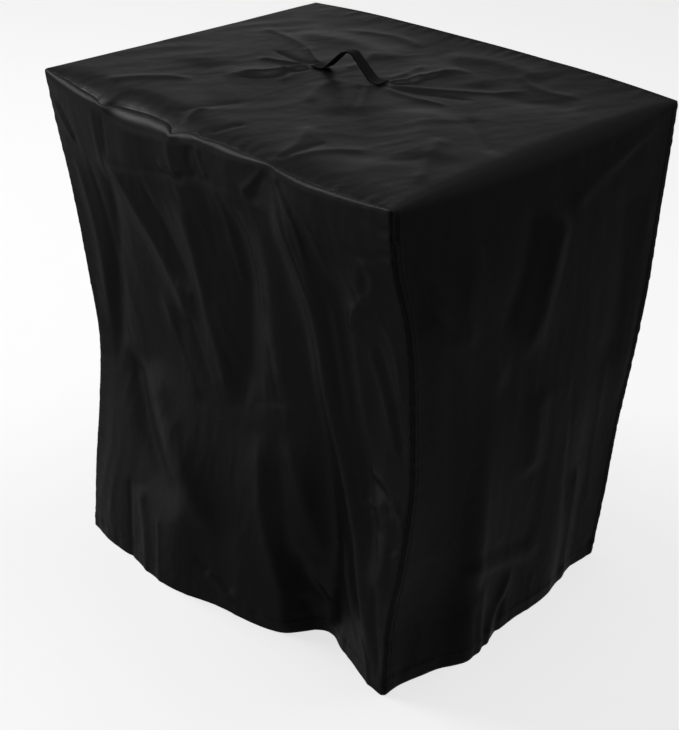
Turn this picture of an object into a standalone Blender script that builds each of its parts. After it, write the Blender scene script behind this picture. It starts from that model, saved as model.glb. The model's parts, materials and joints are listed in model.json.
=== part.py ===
"""Fitted pump cover: a hollow box of coated polyester cloth, open below, with a carrying strap on top.

Lengths are in metres and +Z is up. The origin lies under the middle of the top cloth, at the height of
the flat top that the cover rests on. X runs along the 55 cm side and Y along the 50 cm side, and the
front panel faces -Y. The cover is sewn from one long strip that makes its left side, its top and its
right side, from a front and a back panel, and from a webbing strap.
"""
import math
from collections import namedtuple

import bmesh
import bpy
import numpy as np
from mathutils import Vector

# Driving sizes
LENGTH = 0.550
WIDTH = 0.500
HEIGHT = 0.620
CLOTH = 0.0015
TOP_LEVEL = 0.004

# Seams and rolled edges
SEAM_GAP = 0.0009
EDGE_ROUND = 0.008
SEAM_INSET = EDGE_ROUND * (1 - math.sqrt(0.5)) + SEAM_GAP
ROWS_BESIDE_SEAM = (SEAM_INSET, 0.0055, 0.0085)
ROLL_AT_CORNERS = 0.003
ROLL_OF_RIGHT_EDGE = 0.026
ROLL_OF_LEFT_EDGE = 0.006
ROLL_FULLNESS = 0.6
RollSample = namedtuple("RollSample", "shift weight")
ROLL_SAMPLES = (
    RollSample(-1.0, 7),
    RollSample(-0.5, 32),
    RollSample(0.0, 12),
    RollSample(0.5, 32),
    RollSample(1.0, 7),
)
FOLDS_FADE_AT_SEAM = 0.030
FOLDS_FADE_AT_TOP = 0.015

# Where the hem's outline starts to show, as a share of the way down
HEM_STARTS = 0.35

# Carrying strap
STRAP_WIDTH = 0.021
STRAP_WAIST = 0.016
STRAP_THICKNESS = 0.002
STRAP_LIFT = 0.0006
STRAP_TURN = math.radians(5)
STRAP_CENTRE = (-0.031, 0.026)
STRAP_BEND = 0.006
BEND_POINTS = 7

# Corners of the strap's side view: distance along it from its middle, and height over the cloth
StrapCorner = namedtuple("StrapCorner", "distance height")
STRAP_LINE = (
    StrapCorner(-0.050, 0.0000),
    StrapCorner(-0.034, 0.0000),
    StrapCorner(-0.008, 0.0265),
    StrapCorner(0.005, 0.0290),
    StrapCorner(0.036, 0.0000),
    StrapCorner(0.050, 0.0000),
)

# Grid steps of each sheet
STRIP_ACROSS = 22
STRIP_ROWS_ON_SIDE = 17
STRIP_ROWS_ON_ROLL = 4
STRIP_ROWS_ON_TOP = 24
CLOSE_ROWS_ROUND_ROLL = 1.5
PANEL_STEPS = {"front": (38, 27), "back": (24, 16)}
STRAP_STEPS = (4, 40)

# The path of each corner seam: the share of the way down, the place in plan, and the lift of the cloth
Corner = namedtuple("Corner", "down x y lift")
CORNERS = {
    "front_left": (
        Corner(0.00, -0.274, -0.239, 0.002),
        Corner(0.10, -0.264, -0.233, 0.001),
        Corner(0.20, -0.253, -0.226, 0.000),
        Corner(0.40, -0.235, -0.216, 0.000),
        Corner(0.55, -0.225, -0.209, 0.000),
        Corner(0.70, -0.223, -0.214, 0.000),
        Corner(0.85, -0.226, -0.220, 0.000),
        Corner(1.00, -0.228, -0.223, 0.000),
    ),
    "front_right": (
        Corner(0.00, 0.273, -0.256, -0.002),
        Corner(0.10, 0.278, -0.252, 0.000),
        Corner(0.20, 0.288, -0.239, 0.000),
        Corner(0.40, 0.292, -0.221, 0.000),
        Corner(0.55, 0.292, -0.213, 0.000),
        Corner(0.70, 0.286, -0.213, 0.001),
        Corner(0.85, 0.275, -0.213, 0.000),
        Corner(1.00, 0.276, -0.214, 0.000),
    ),
    "back_right": (
        Corner(0.00, 0.284, 0.256, 0.000),
        Corner(0.10, 0.285, 0.254, 0.000),
        Corner(0.20, 0.286, 0.251, 0.000),
        Corner(0.40, 0.289, 0.244, 0.000),
        Corner(0.55, 0.288, 0.236, 0.000),
        Corner(0.70, 0.286, 0.226, 0.000),
        Corner(0.85, 0.287, 0.219, 0.000),
        Corner(1.00, 0.286, 0.210, 0.000),
    ),
    "back_left": (
        Corner(0.00, -0.284, 0.240, -0.001),
        Corner(0.10, -0.280, 0.238, 0.000),
        Corner(0.20, -0.275, 0.235, 0.000),
        Corner(0.40, -0.262, 0.228, 0.000),
        Corner(0.55, -0.252, 0.222, 0.000),
        Corner(0.70, -0.245, 0.216, 0.001),
        Corner(0.85, -0.241, 0.211, 0.002),
        Corner(1.00, -0.238, 0.208, 0.003),
    ),
}

# Each side as seen from outside: the corner on its left, the corner on its right, and its cut width
Side = namedtuple("Side", "start end width")
SIDES = {
    "front": Side("front_left", "front_right", LENGTH),
    "right": Side("front_right", "back_right", WIDTH),
    "back": Side("back_right", "back_left", LENGTH),
    "left": Side("back_left", "front_left", WIDTH),
}

# How far the hem stands outside the line between its two corners, at a share of the way along
Hem = namedtuple("Hem", "along outward")
HEMS = {
    "front": (
        Hem(0.000, 0.000),
        Hem(0.090, 0.012),
        Hem(0.220, 0.018),
        Hem(0.340, 0.028),
        Hem(0.490, 0.013),
        Hem(0.570, 0.009),
        Hem(0.685, -0.010),
        Hem(0.750, -0.043),
        Hem(0.830, -0.030),
        Hem(0.960, -0.004),
        Hem(1.000, 0.000),
    ),
    "right": (
        Hem(0.000, 0.000),
        Hem(0.070, 0.001),
        Hem(0.200, 0.013),
        Hem(0.300, 0.028),
        Hem(0.340, 0.024),
        Hem(0.430, 0.018),
        Hem(0.540, 0.015),
        Hem(0.680, 0.016),
        Hem(0.850, 0.000),
        Hem(1.000, 0.000),
    ),
    "back": (
        Hem(0.000, 0.000),
        Hem(0.120, 0.010),
        Hem(0.280, 0.022),
        Hem(0.420, 0.006),
        Hem(0.520, -0.018),
        Hem(0.660, 0.014),
        Hem(0.820, 0.018),
        Hem(0.930, 0.006),
        Hem(1.000, 0.000),
    ),
    "left": (
        Hem(0.000, 0.000),
        Hem(0.150, 0.012),
        Hem(0.300, -0.014),
        Hem(0.450, 0.012),
        Hem(0.600, 0.024),
        Hem(0.780, 0.004),
        Hem(0.900, 0.008),
        Hem(1.000, 0.000),
    ),
}

# How the sewn top edges hang between their corners: how far they sag, or rise where the value is
# negative, and how far they belly out
Sag = namedtuple("Sag", "along down outward")
SAGS = {
    "front": (
        Sag(0.00, 0.0000, 0.0000),
        Sag(0.12, 0.0075, 0.0070),
        Sag(0.24, 0.0110, 0.0100),
        Sag(0.36, 0.0090, 0.0095),
        Sag(0.50, 0.0060, 0.0045),
        Sag(0.69, 0.0035, 0.0025),
        Sag(0.80, 0.0058, 0.0052),
        Sag(0.90, 0.0038, 0.0030),
        Sag(1.00, 0.0000, 0.0000),
    ),
    "back": (
        Sag(0.00, 0.0000, 0.0000),
        Sag(0.10, -0.0030, 0.0030),
        Sag(0.20, -0.0050, 0.0055),
        Sag(0.33, -0.0058, 0.0050),
        Sag(0.50, -0.0065, 0.0066),
        Sag(0.69, -0.0060, 0.0044),
        Sag(0.85, -0.0042, 0.0044),
        Sag(1.00, 0.0000, 0.0000),
    ),
}
SAG_REACH_ON_TOP = {"front": 0.070, "back": 0.110}
BELLY_REACH_ON_TOP = 0.120
BELLY_REACH_DOWN = 0.200

# Main folds: a path of (along, drop) places on the flat panel, half the fold's width, and how far it
# stands out, or in where the value is negative. On the top the places are (x, y) in plan.
Fold = namedtuple("Fold", "path half_width rise")
FOLDS = {
    "front": (
        Fold(((0.098, 0.070), (0.090, 0.131), (0.062, 0.255), (0.040, 0.380)), 0.014, -0.0043),
        Fold(((0.112, 0.320), (0.158, 0.400), (0.202, 0.455), (0.264, 0.525)), 0.024, 0.0090),
        Fold(((0.068, 0.320), (0.096, 0.395), (0.132, 0.452), (0.202, 0.516)), 0.020, -0.0085),
        Fold(((0.112, 0.500), (0.131, 0.560), (0.146, 0.650)), 0.011, 0.0037),
        Fold(((0.100, 0.055), (0.137, 0.117), (0.180, 0.190), (0.205, 0.250)), 0.016, 0.0056),
        Fold(((0.228, 0.070), (0.229, 0.149), (0.245, 0.255), (0.262, 0.340)), 0.015, 0.0050),
        Fold(((0.308, 0.055), (0.313, 0.133), (0.305, 0.209), (0.278, 0.350)), 0.024, -0.0087),
        Fold(((0.362, 0.055), (0.349, 0.156), (0.345, 0.220), (0.358, 0.300)), 0.020, 0.0050),
        Fold(((0.306, 0.343), (0.328, 0.452), (0.368, 0.555), (0.380, 0.650)), 0.014, 0.0056),
        Fold(((0.338, 0.331), (0.360, 0.460), (0.388, 0.550), (0.412, 0.650)), 0.015, -0.0055),
        Fold(((0.350, 0.335), (0.380, 0.410), (0.406, 0.495), (0.424, 0.580)), 0.015, 0.0045),
        Fold(((0.393, 0.120), (0.403, 0.272), (0.414, 0.400), (0.424, 0.520)), 0.018, -0.0048),
        Fold(((0.383, 0.004), (0.415, 0.121), (0.438, 0.312), (0.475, 0.440), (0.530, 0.600)), 0.017, 0.0105),
        Fold(((0.450, 0.070), (0.462, 0.168), (0.479, 0.337), (0.517, 0.480)), 0.014, -0.0056),
        Fold(((0.505, 0.060), (0.491, 0.117), (0.472, 0.165), (0.484, 0.334)), 0.012, 0.0043),
        Fold(((0.498, 0.350), (0.518, 0.410), (0.536, 0.500)), 0.015, 0.0043),
    ),
    "right": (
        Fold(((0.462, 0.012), (0.392, 0.036), (0.336, 0.060), (0.290, 0.085)), 0.012, 0.0028),
        Fold(((0.292, 0.080), (0.270, 0.120), (0.250, 0.177), (0.212, 0.250)), 0.022, 0.0050),
        Fold(((0.232, 0.055), (0.209, 0.127), (0.165, 0.200)), 0.018, -0.0039),
        Fold(((0.126, 0.070), (0.107, 0.131), (0.100, 0.190)), 0.020, 0.0028),
        Fold(((0.030, 0.105), (0.069, 0.159), (0.134, 0.214), (0.185, 0.265)), 0.017, 0.0039),
        Fold(((0.410, 0.070), (0.425, 0.200), (0.432, 0.330)), 0.036, -0.0038),
        Fold(((0.470, 0.090), (0.474, 0.228), (0.478, 0.400)), 0.018, 0.0018),
        Fold(((0.258, 0.290), (0.256, 0.410)), 0.022, 0.0033),
        Fold(((0.110, 0.484), (0.211, 0.507), (0.315, 0.529)), 0.015, 0.0030),
        Fold(((0.168, 0.520), (0.170, 0.580), (0.172, 0.650)), 0.010, 0.0035),
        Fold(((0.250, 0.532), (0.222, 0.566), (0.198, 0.600), (0.192, 0.650)), 0.010, 0.0040),
        Fold(((0.234, 0.566), (0.222, 0.650)), 0.010, -0.0030),
        Fold(((0.388, 0.440), (0.396, 0.531), (0.410, 0.650)), 0.012, 0.0039),
    ),
    "back": (
        Fold(((0.060, 0.060), (0.085, 0.210), (0.120, 0.380)), 0.016, 0.0058),
        Fold(((0.130, 0.070), (0.150, 0.200), (0.142, 0.330)), 0.018, -0.0065),
        Fold(((0.215, 0.055), (0.200, 0.180), (0.225, 0.320), (0.250, 0.460)), 0.018, 0.0072),
        Fold(((0.290, 0.080), (0.300, 0.260), (0.292, 0.440), (0.288, 0.650)), 0.022, -0.0094),
        Fold(((0.350, 0.060), (0.372, 0.190), (0.360, 0.330)), 0.016, 0.0058),
        Fold(((0.350, 0.400), (0.372, 0.520), (0.380, 0.650)), 0.015, 0.0065),
        Fold(((0.440, 0.055), (0.425, 0.200), (0.440, 0.360), (0.462, 0.520)), 0.017, 0.0065),
        Fold(((0.500, 0.090), (0.486, 0.230), (0.500, 0.400)), 0.014, -0.0050),
        Fold(((0.150, 0.430), (0.170, 0.530), (0.160, 0.650)), 0.014, 0.0065),
        Fold(((0.060, 0.450), (0.090, 0.540), (0.100, 0.650)), 0.013, -0.0043),
    ),
    "left": (
        Fold(((0.070, 0.055), (0.080, 0.180), (0.105, 0.330)), 0.016, 0.0050),
        Fold(((0.150, 0.080), (0.140, 0.240), (0.150, 0.420), (0.150, 0.650)), 0.020, -0.0079),
        Fold(((0.215, 0.060), (0.230, 0.190), (0.222, 0.350)), 0.017, 0.0065),
        Fold(((0.300, 0.070), (0.285, 0.230), (0.300, 0.380)), 0.020, -0.0058),
        Fold(((0.370, 0.055), (0.350, 0.200), (0.330, 0.360), (0.320, 0.500)), 0.017, 0.0065),
        Fold(((0.430, 0.080), (0.425, 0.260), (0.440, 0.430)), 0.014, -0.0043),
        Fold(((0.230, 0.440), (0.240, 0.540), (0.250, 0.650)), 0.015, 0.0058),
        Fold(((0.400, 0.470), (0.390, 0.560), (0.385, 0.650)), 0.013, 0.0050),
    ),
    "top": (
        Fold(((-0.094, -0.012), (-0.102, -0.046), (-0.128, -0.092)), 0.014, 0.0026),
        Fold(((0.030, 0.064), (0.040, 0.108), (0.046, 0.156)), 0.014, 0.0026),
        Fold(((0.040, -0.060), (0.110, -0.110), (0.170, -0.190)), 0.026, -0.0030),
        Fold(((0.110, 0.010), (0.160, -0.070), (0.215, -0.130)), 0.024, 0.0030),
        Fold(((-0.190, -0.060), (-0.120, -0.130), (-0.040, -0.180)), 0.026, -0.0026),
        Fold(((-0.200, 0.100), (-0.110, 0.130), (-0.020, 0.110)), 0.024, 0.0026),
        Fold(((0.080, 0.120), (0.150, 0.110), (0.225, 0.150)), 0.022, -0.0026),
        Fold(((-0.010, 0.170), (0.060, 0.200), (0.140, 0.190)), 0.020, 0.0026),
    ),
}
PATH_STEPS = 10
FOLD_END = 0.18


def smooth_read(at, places, values):
    """Read a table between its rows, on a smooth curve through them."""
    places = np.asarray(places, float)
    values = np.asarray(values, float)
    slopes = np.gradient(values, places)
    row = np.clip(np.searchsorted(places, at) - 1, 0, len(places) - 2)
    gap = places[row + 1] - places[row]
    t = (at - places[row]) / gap
    return (
        (2 * t**3 - 3 * t**2 + 1) * values[row]
        + (t**3 - 2 * t**2 + t) * gap * slopes[row]
        + (3 * t**2 - 2 * t**3) * values[row + 1]
        + (t**3 - t**2) * gap * slopes[row + 1]
    )


def read_rows(at, rows, column):
    """Read one named column of a table of rows, by its first column."""
    return smooth_read(at, [row[0] for row in rows], [getattr(row, column) for row in rows])


def ease(t):
    """Go smoothly from 0 to 1."""
    t = np.clip(t, 0, 1)
    return t * t * (3 - 2 * t)


def edge_fall(distance):
    """How far a sheet curls inwards at this distance from a seam, round the edge's quarter circle."""
    reach = np.clip(EDGE_ROUND - distance, 0, EDGE_ROUND)
    return EDGE_ROUND - np.sqrt(EDGE_ROUND**2 - reach**2)


def fold_relief(fold, across, down):
    """Height of one fold over the flat panel: a soft ridge along its path that fades at both ends."""
    places = np.linspace(0, 1, len(fold.path))
    fine = np.linspace(0, 1, PATH_STEPS * (len(fold.path) - 1) + 1)
    line = np.stack([smooth_read(fine, places, [p[axis] for p in fold.path]) for axis in (0, 1)], axis=1)
    nearest = np.full(across.shape, np.inf)
    share = np.zeros(across.shape)
    for step, (a, b) in enumerate(zip(line[:-1], line[1:])):
        run = b - a
        t = np.clip(((across - a[0]) * run[0] + (down - a[1]) * run[1]) / (run @ run), 0, 1)
        distance = np.hypot(across - a[0] - t * run[0], down - a[1] - t * run[1])
        closer = distance < nearest
        nearest = np.where(closer, distance, nearest)
        share = np.where(closer, (step + t) / (len(line) - 1), share)
    fade = ease(share / FOLD_END) * ease((1 - share) / FOLD_END)
    return fold.rise * fade * np.exp(-((nearest / fold.half_width) ** 2))


def folds_of(place, across, down):
    """All the main folds of one panel, added up."""
    return sum(fold_relief(fold, across, down) for fold in FOLDS[place])


def corner_point(name, down):
    """The point of a corner seam at a share of the way down."""
    x, y, lift = (read_rows(down, CORNERS[name], column) for column in ("x", "y", "lift"))
    return np.stack([x, y, TOP_LEVEL - HEIGHT * down + lift], axis=-1)


def wall_point(name, along, drop):
    """A point of a side's outer face: a share of the way along it, and a drop below its top edge."""
    side = SIDES[name]
    down = drop / HEIGHT
    start = corner_point(side.start, down)
    end = corner_point(side.end, down)
    run = (end - start)[..., :2]
    run = run / np.linalg.norm(run, axis=-1, keepdims=True)
    outward = np.stack([run[..., 1], -run[..., 0], np.zeros(down.shape)], axis=-1)
    push = read_rows(along, HEMS[name], "outward") * ease((down - HEM_STARTS) / (1 - HEM_STARTS))
    edge = np.minimum(along, 1 - along) * side.width
    fade = ease(edge / FOLDS_FADE_AT_SEAM) * ease(drop / FOLDS_FADE_AT_TOP)
    push = push + folds_of(name, along * side.width, drop) * fade - edge_fall(edge)
    sag = np.zeros(down.shape)
    if name in SAGS:
        push += read_rows(along, SAGS[name], "outward") * (1 - ease(drop / BELLY_REACH_DOWN))
        sag = read_rows(along, SAGS[name], "down") * (1 - down)
    point = start + (end - start) * along[..., None] + outward * push[..., None]
    point[..., 2] -= sag
    return point


def top_point(right, back):
    """A point of the top cloth, by its shares of the way to the right and to the back."""
    level = np.zeros(right.shape)
    corner = {name: corner_point(name, level) for name in CORNERS}
    right_share = right[..., None]
    front = corner["front_left"] + (corner["front_right"] - corner["front_left"]) * right_share
    rear = corner["back_left"] + (corner["back_right"] - corner["back_left"]) * right_share
    point = front + (rear - front) * back[..., None]
    edge_y = np.minimum(back, 1 - back) * WIDTH
    for name, along, distance, facing in (
        ("front", right, back * WIDTH, -1),
        ("back", 1 - right, (1 - back) * WIDTH, 1),
    ):
        hollow = np.clip(1 - (distance - SEAM_INSET) / SAG_REACH_ON_TOP[name], 0, 1) ** 2
        belly = 1 - ease(distance / BELLY_REACH_ON_TOP)
        point[..., 2] -= read_rows(along, SAGS[name], "down") * hollow
        point[..., 1] += facing * read_rows(along, SAGS[name], "outward") * belly
    edge_x = np.minimum(right, 1 - right) * LENGTH
    fade = ease(np.minimum(edge_x, edge_y) / FOLDS_FADE_AT_SEAM)
    point[..., 2] += folds_of("top", point[..., 0], point[..., 1]) * fade - edge_fall(edge_y)
    return point


def strip_flat_point(run, back):
    """A point of the long strip with sharp edges, by the distance run from its left hem."""
    on_left = run < HEIGHT
    on_right = run > HEIGHT + LENGTH
    left = wall_point("left", 1 - back, np.clip(HEIGHT - run, 0, HEIGHT))
    right = wall_point("right", back, np.clip(run - HEIGHT - LENGTH, 0, HEIGHT))
    top = top_point(np.clip((run - HEIGHT) / LENGTH, 0, 1), back)
    return np.where(on_left[..., None], left, np.where(on_right[..., None], right, top))


def strip_point(run, back):
    """A point of the long strip, rolled over the left and right top edges."""
    fullness = np.sin(math.pi * back) ** ROLL_FULLNESS
    window = np.zeros(run.shape)
    for edge, roll in ((HEIGHT, ROLL_OF_LEFT_EDGE), (HEIGHT + LENGTH, ROLL_OF_RIGHT_EDGE)):
        reach = ROLL_AT_CORNERS + (roll - ROLL_AT_CORNERS) * fullness
        window = np.maximum(window, reach * ease(2 - np.abs(run - edge) / reach))
    total = sum(sample.weight for sample in ROLL_SAMPLES)
    return sum(s.weight * strip_flat_point(run + s.shift * window, back) for s in ROLL_SAMPLES) / total


def strip_runs():
    """Distances from the left hem at which the strip has a row of points, closer at the rolled edges."""
    left_roll = CLOSE_ROWS_ROUND_ROLL * ROLL_OF_LEFT_EDGE
    right_roll = CLOSE_ROWS_ROUND_ROLL * ROLL_OF_RIGHT_EDGE
    far_edge = HEIGHT + LENGTH
    return np.concatenate([
        np.linspace(0, HEIGHT - left_roll, STRIP_ROWS_ON_SIDE, endpoint=False),
        np.linspace(HEIGHT - left_roll, HEIGHT + left_roll, STRIP_ROWS_ON_ROLL, endpoint=False),
        np.linspace(HEIGHT + left_roll, far_edge - right_roll, STRIP_ROWS_ON_TOP, endpoint=False),
        np.linspace(far_edge - right_roll, far_edge + right_roll, STRIP_ROWS_ON_ROLL, endpoint=False),
        np.linspace(far_edge + right_roll, far_edge + HEIGHT, STRIP_ROWS_ON_SIDE + 1),
    ])


def rounded_line(corners, bend, steps):
    """Points along a bent line whose inner corners are rounded, evenly spaced."""
    corners = [np.array(c, float) for c in corners]
    points = [corners[0]]
    for before, here, after in zip(corners[:-2], corners[1:-1], corners[2:]):
        to_before = (before - here) / np.linalg.norm(before - here)
        to_after = (after - here) / np.linalg.norm(after - here)
        for t in np.linspace(0, 1, BEND_POINTS):
            points.append(here + to_before * bend * (1 - t) ** 2 + to_after * bend * t**2)
    points.append(corners[-1])
    points = np.array(points)
    reached = np.concatenate([[0], np.cumsum(np.linalg.norm(np.diff(points, axis=0), axis=1))])
    even = np.linspace(0, reached[-1], steps + 1)
    return np.stack([np.interp(even, reached, points[:, axis]) for axis in (0, 1)], axis=1)


def strap_point(share, across):
    """A point of the strap's upper face, by its share of the way along and its place across."""
    line = rounded_line(STRAP_LINE, STRAP_BEND, STRAP_STEPS[1])
    places = np.linspace(0, 1, len(line))
    distance = np.interp(share, places, line[:, 0])
    height = np.interp(share, places, line[:, 1])
    width = STRAP_WAIST + (STRAP_WIDTH - STRAP_WAIST) * (2 * share - 1) ** 2
    side = (across - 0.5) * width
    x = STRAP_CENTRE[0] + distance * math.cos(STRAP_TURN) - side * math.sin(STRAP_TURN)
    y = STRAP_CENTRE[1] + distance * math.sin(STRAP_TURN) + side * math.cos(STRAP_TURN)
    return np.stack([x, y, TOP_LEVEL + STRAP_LIFT + height + STRAP_THICKNESS], axis=-1)


def material(name, colour, roughness):
    """A plain Principled material in the piece's colour."""
    made = bpy.data.materials.new(name)
    made.use_nodes = True
    shader = made.node_tree.nodes["Principled BSDF"]
    shader.inputs["Base Color"].default_value = (*colour, 1)
    shader.inputs["Roughness"].default_value = roughness
    return made


def split_along_folds(bm, middles):
    """Split each cell of the grid along the diagonal that passes nearer the cloth at its middle."""
    for face, middle in zip(list(bm.faces), middles):
        a, b, c, d = face.verts
        middle = Vector(middle)
        first_miss = ((a.co + c.co) / 2 - middle).length
        second_miss = ((b.co + d.co) / 2 - middle).length
        ends = (a, c) if first_miss <= second_miss else (b, d)
        bmesh.utils.face_split(face, *ends)


def sheet(name, shape, thickness, finish, collection):
    """A sheet of cloth: a flat grid whose points are placed by a function, given its thickness inwards."""
    steps, place = shape
    bm = bmesh.new()
    bmesh.ops.create_grid(bm, x_segments=steps[0], y_segments=steps[1], size=0.5)
    flat = np.array([v.co[:2] for v in bm.verts]) + 0.5
    centres = np.array([f.calc_center_median()[:2] for f in bm.faces]) + 0.5
    for vert, point in zip(bm.verts, place(flat[:, 0], flat[:, 1])):
        vert.co = point
    split_along_folds(bm, place(centres[:, 0], centres[:, 1]))
    mesh = bpy.data.meshes.new(name)
    bm.to_mesh(mesh)
    bm.free()
    mesh.shade_smooth()
    mesh.materials.append(finish)
    piece = bpy.data.objects.new(name, mesh)
    collection.objects.link(piece)
    solidify = piece.modifiers.new("Thickness", "SOLIDIFY")
    solidify.thickness = thickness
    solidify.offset = -1
    return piece


def seam_to_seam(length, steps):
    """Places across a sheet from one seam to the other, closer where it curls in at the seams."""
    beside = np.array(ROWS_BESIDE_SEAM)
    even = np.linspace(beside[-1], length - beside[-1], steps + 1)
    return np.concatenate([beside[:-1], even, length - beside[-2::-1]])


def seam_to_hem(length, steps):
    """Places down a sheet from its top seam to its hem, closer where it curls in at the seam."""
    beside = np.array(ROWS_BESIDE_SEAM)
    return np.concatenate([beside[:-1], np.linspace(beside[-1], length, steps + 1)])


def spread(share, places):
    """The place that each share of a grid stands for."""
    return np.interp(share, np.linspace(0, 1, len(places)), places)


def panel(name, direction):
    """Grid steps and placing function of a front or back panel, which faces -Y or +Y."""
    width = SIDES[name].width
    columns = seam_to_seam(width, PANEL_STEPS[name][0])
    rows = seam_to_hem(HEIGHT, PANEL_STEPS[name][1])

    def place(x, y):
        drop = spread(1 - y, rows)
        point = wall_point(name, spread(x, columns) / width, drop)
        point[..., 1] -= direction * edge_fall(drop)
        return point

    return (len(columns) - 1, len(rows) - 1), place


def strip():
    """Grid steps and placing function of the long strip: across it, and along it from hem to hem."""
    columns = seam_to_seam(WIDTH, STRIP_ACROSS)
    runs = strip_runs()

    def place(x, y):
        return strip_point(spread(y, runs), spread(1 - x, columns) / WIDTH)

    return (len(columns) - 1, len(runs) - 1), place


def strap():
    """Grid steps and placing function of the carrying strap: across it and along it."""
    return STRAP_STEPS, lambda x, y: strap_point(y, 1 - x)


def build():
    """Make every piece of the cover."""
    for old in list(bpy.data.objects):
        bpy.data.objects.remove(old)
    cover = bpy.data.collections.new("pump_cover")
    bpy.context.scene.collection.children.link(cover)
    coated = material("coated_polyester", (0.012, 0.012, 0.013), 0.42)
    webbing = material("polyester_webbing", (0.008, 0.008, 0.009), 0.7)
    sheet("top_and_sides", strip(), CLOTH, coated, cover)
    sheet("front_panel", panel("front", -1), CLOTH, coated, cover)
    sheet("back_panel", panel("back", 1), CLOTH, coated, cover)
    sheet("carry_strap", strap(), STRAP_THICKNESS, webbing, cover)


build()
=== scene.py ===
# %% [markdown]
# # A fitted pump cover of coated black cloth
#
# The real thing is a soft box, open below: one long strip of coated polyester makes its left side, its
# top and its right side, and a front and a back panel close it. A short webbing strap is sewn on top.
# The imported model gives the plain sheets. This script dresses them: the same sheets at a finer step with
# the small creases, pinches and puckers that seams leave, then stitches, finishes, floor, light and camera.

import json
import math
from collections import namedtuple

import bpy
import numpy as np
from mathutils import Matrix, Vector

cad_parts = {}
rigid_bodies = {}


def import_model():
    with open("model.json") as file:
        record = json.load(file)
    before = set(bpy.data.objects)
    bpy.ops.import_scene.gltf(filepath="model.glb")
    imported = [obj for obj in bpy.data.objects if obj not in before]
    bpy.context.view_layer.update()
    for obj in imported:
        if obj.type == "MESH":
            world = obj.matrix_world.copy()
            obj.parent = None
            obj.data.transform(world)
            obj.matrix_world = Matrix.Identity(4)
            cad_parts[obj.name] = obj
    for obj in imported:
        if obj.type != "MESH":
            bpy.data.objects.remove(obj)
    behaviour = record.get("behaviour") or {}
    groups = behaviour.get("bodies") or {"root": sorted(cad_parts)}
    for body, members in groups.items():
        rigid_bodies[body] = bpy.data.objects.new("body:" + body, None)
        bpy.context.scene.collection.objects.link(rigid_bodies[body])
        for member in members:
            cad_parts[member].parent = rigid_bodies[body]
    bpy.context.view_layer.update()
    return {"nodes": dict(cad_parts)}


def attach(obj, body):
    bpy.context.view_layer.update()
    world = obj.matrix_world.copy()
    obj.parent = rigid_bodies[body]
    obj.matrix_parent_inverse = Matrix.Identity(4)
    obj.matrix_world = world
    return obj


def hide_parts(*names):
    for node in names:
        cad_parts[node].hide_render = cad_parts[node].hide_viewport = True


for old in list(bpy.data.objects):
    bpy.data.objects.remove(old)
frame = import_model()
print("nodes:", sorted(frame["nodes"]))

# %% [markdown]
# ## Sizes
#
# The sheets repeat the solids' own sizes, because a cover's cloth has to lie where its solid is. Blender
# works in metres, so a size in millimetres is written with a factor. The rows of the long tables are
# plain millimetres, which read as a tape does, and a small function turns them to metres.

# %% Driving sizes of the cover
MM = 0.001
LENGTH = 550 * MM
WIDTH = 500 * MM
HEIGHT = 620 * MM
TOP_LEVEL = 4 * MM
FLOOR_LEVEL = TOP_LEVEL - HEIGHT
CLOTH = 0.5 * MM
print("floor level:", round(FLOOR_LEVEL, 4))

# %% Seams, rolled edges and hem
SEAM_GAP = 0.4 * MM
PANEL_ROUND = 6 * MM
STRIP_ROUND = 3.5 * MM
DIAGONAL = 1 - math.sqrt(0.5)
ROLL_AT_CORNERS = 3 * MM
ROLL_OF_RIGHT_EDGE = 26 * MM
ROLL_OF_LEFT_EDGE = 6 * MM
ROLL_FULLNESS = 0.6
FOLDS_FADE_AT_SEAM = 30 * MM
FOLDS_FADE_AT_TOP = 15 * MM
HEM_STARTS = 0.35
HEM_DEPTH = 20 * MM
HEM_ROW = 17 * MM
print("hem stitches over the edge:", round(HEM_ROW / MM), "mm")

# %% Where the carrying strap is sewn on
STRAP_WIDTH = 21 * MM
STRAP_TURN = math.radians(5)
STRAP_CENTRE = (-31 * MM, 26 * MM)
STRAP_REACH = 50 * MM
TAB_LENGTH = 13 * MM
print("sewn down at each end of the strap:", round(TAB_LENGTH / MM), "mm")

# %% [markdown]
# ## Where the cloth hangs
#
# A fitted cover hangs from four corner seams. Each seam's path is a short table, and so is each side's
# hem, as it stands out from the line between its two corners. A smooth curve through the rows gives
# every point between them. Modelling by tables keeps the drape easy to change, row by row.

# %% Rows in millimetres
def in_metres(table):
    """A table whose rows start with a share and go on in millimetres, turned to metres."""
    return {
        name: tuple(type(row)(row[0], *(length * MM for length in row[1:])) for row in rows)
        for name, rows in table.items()
    }


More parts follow.
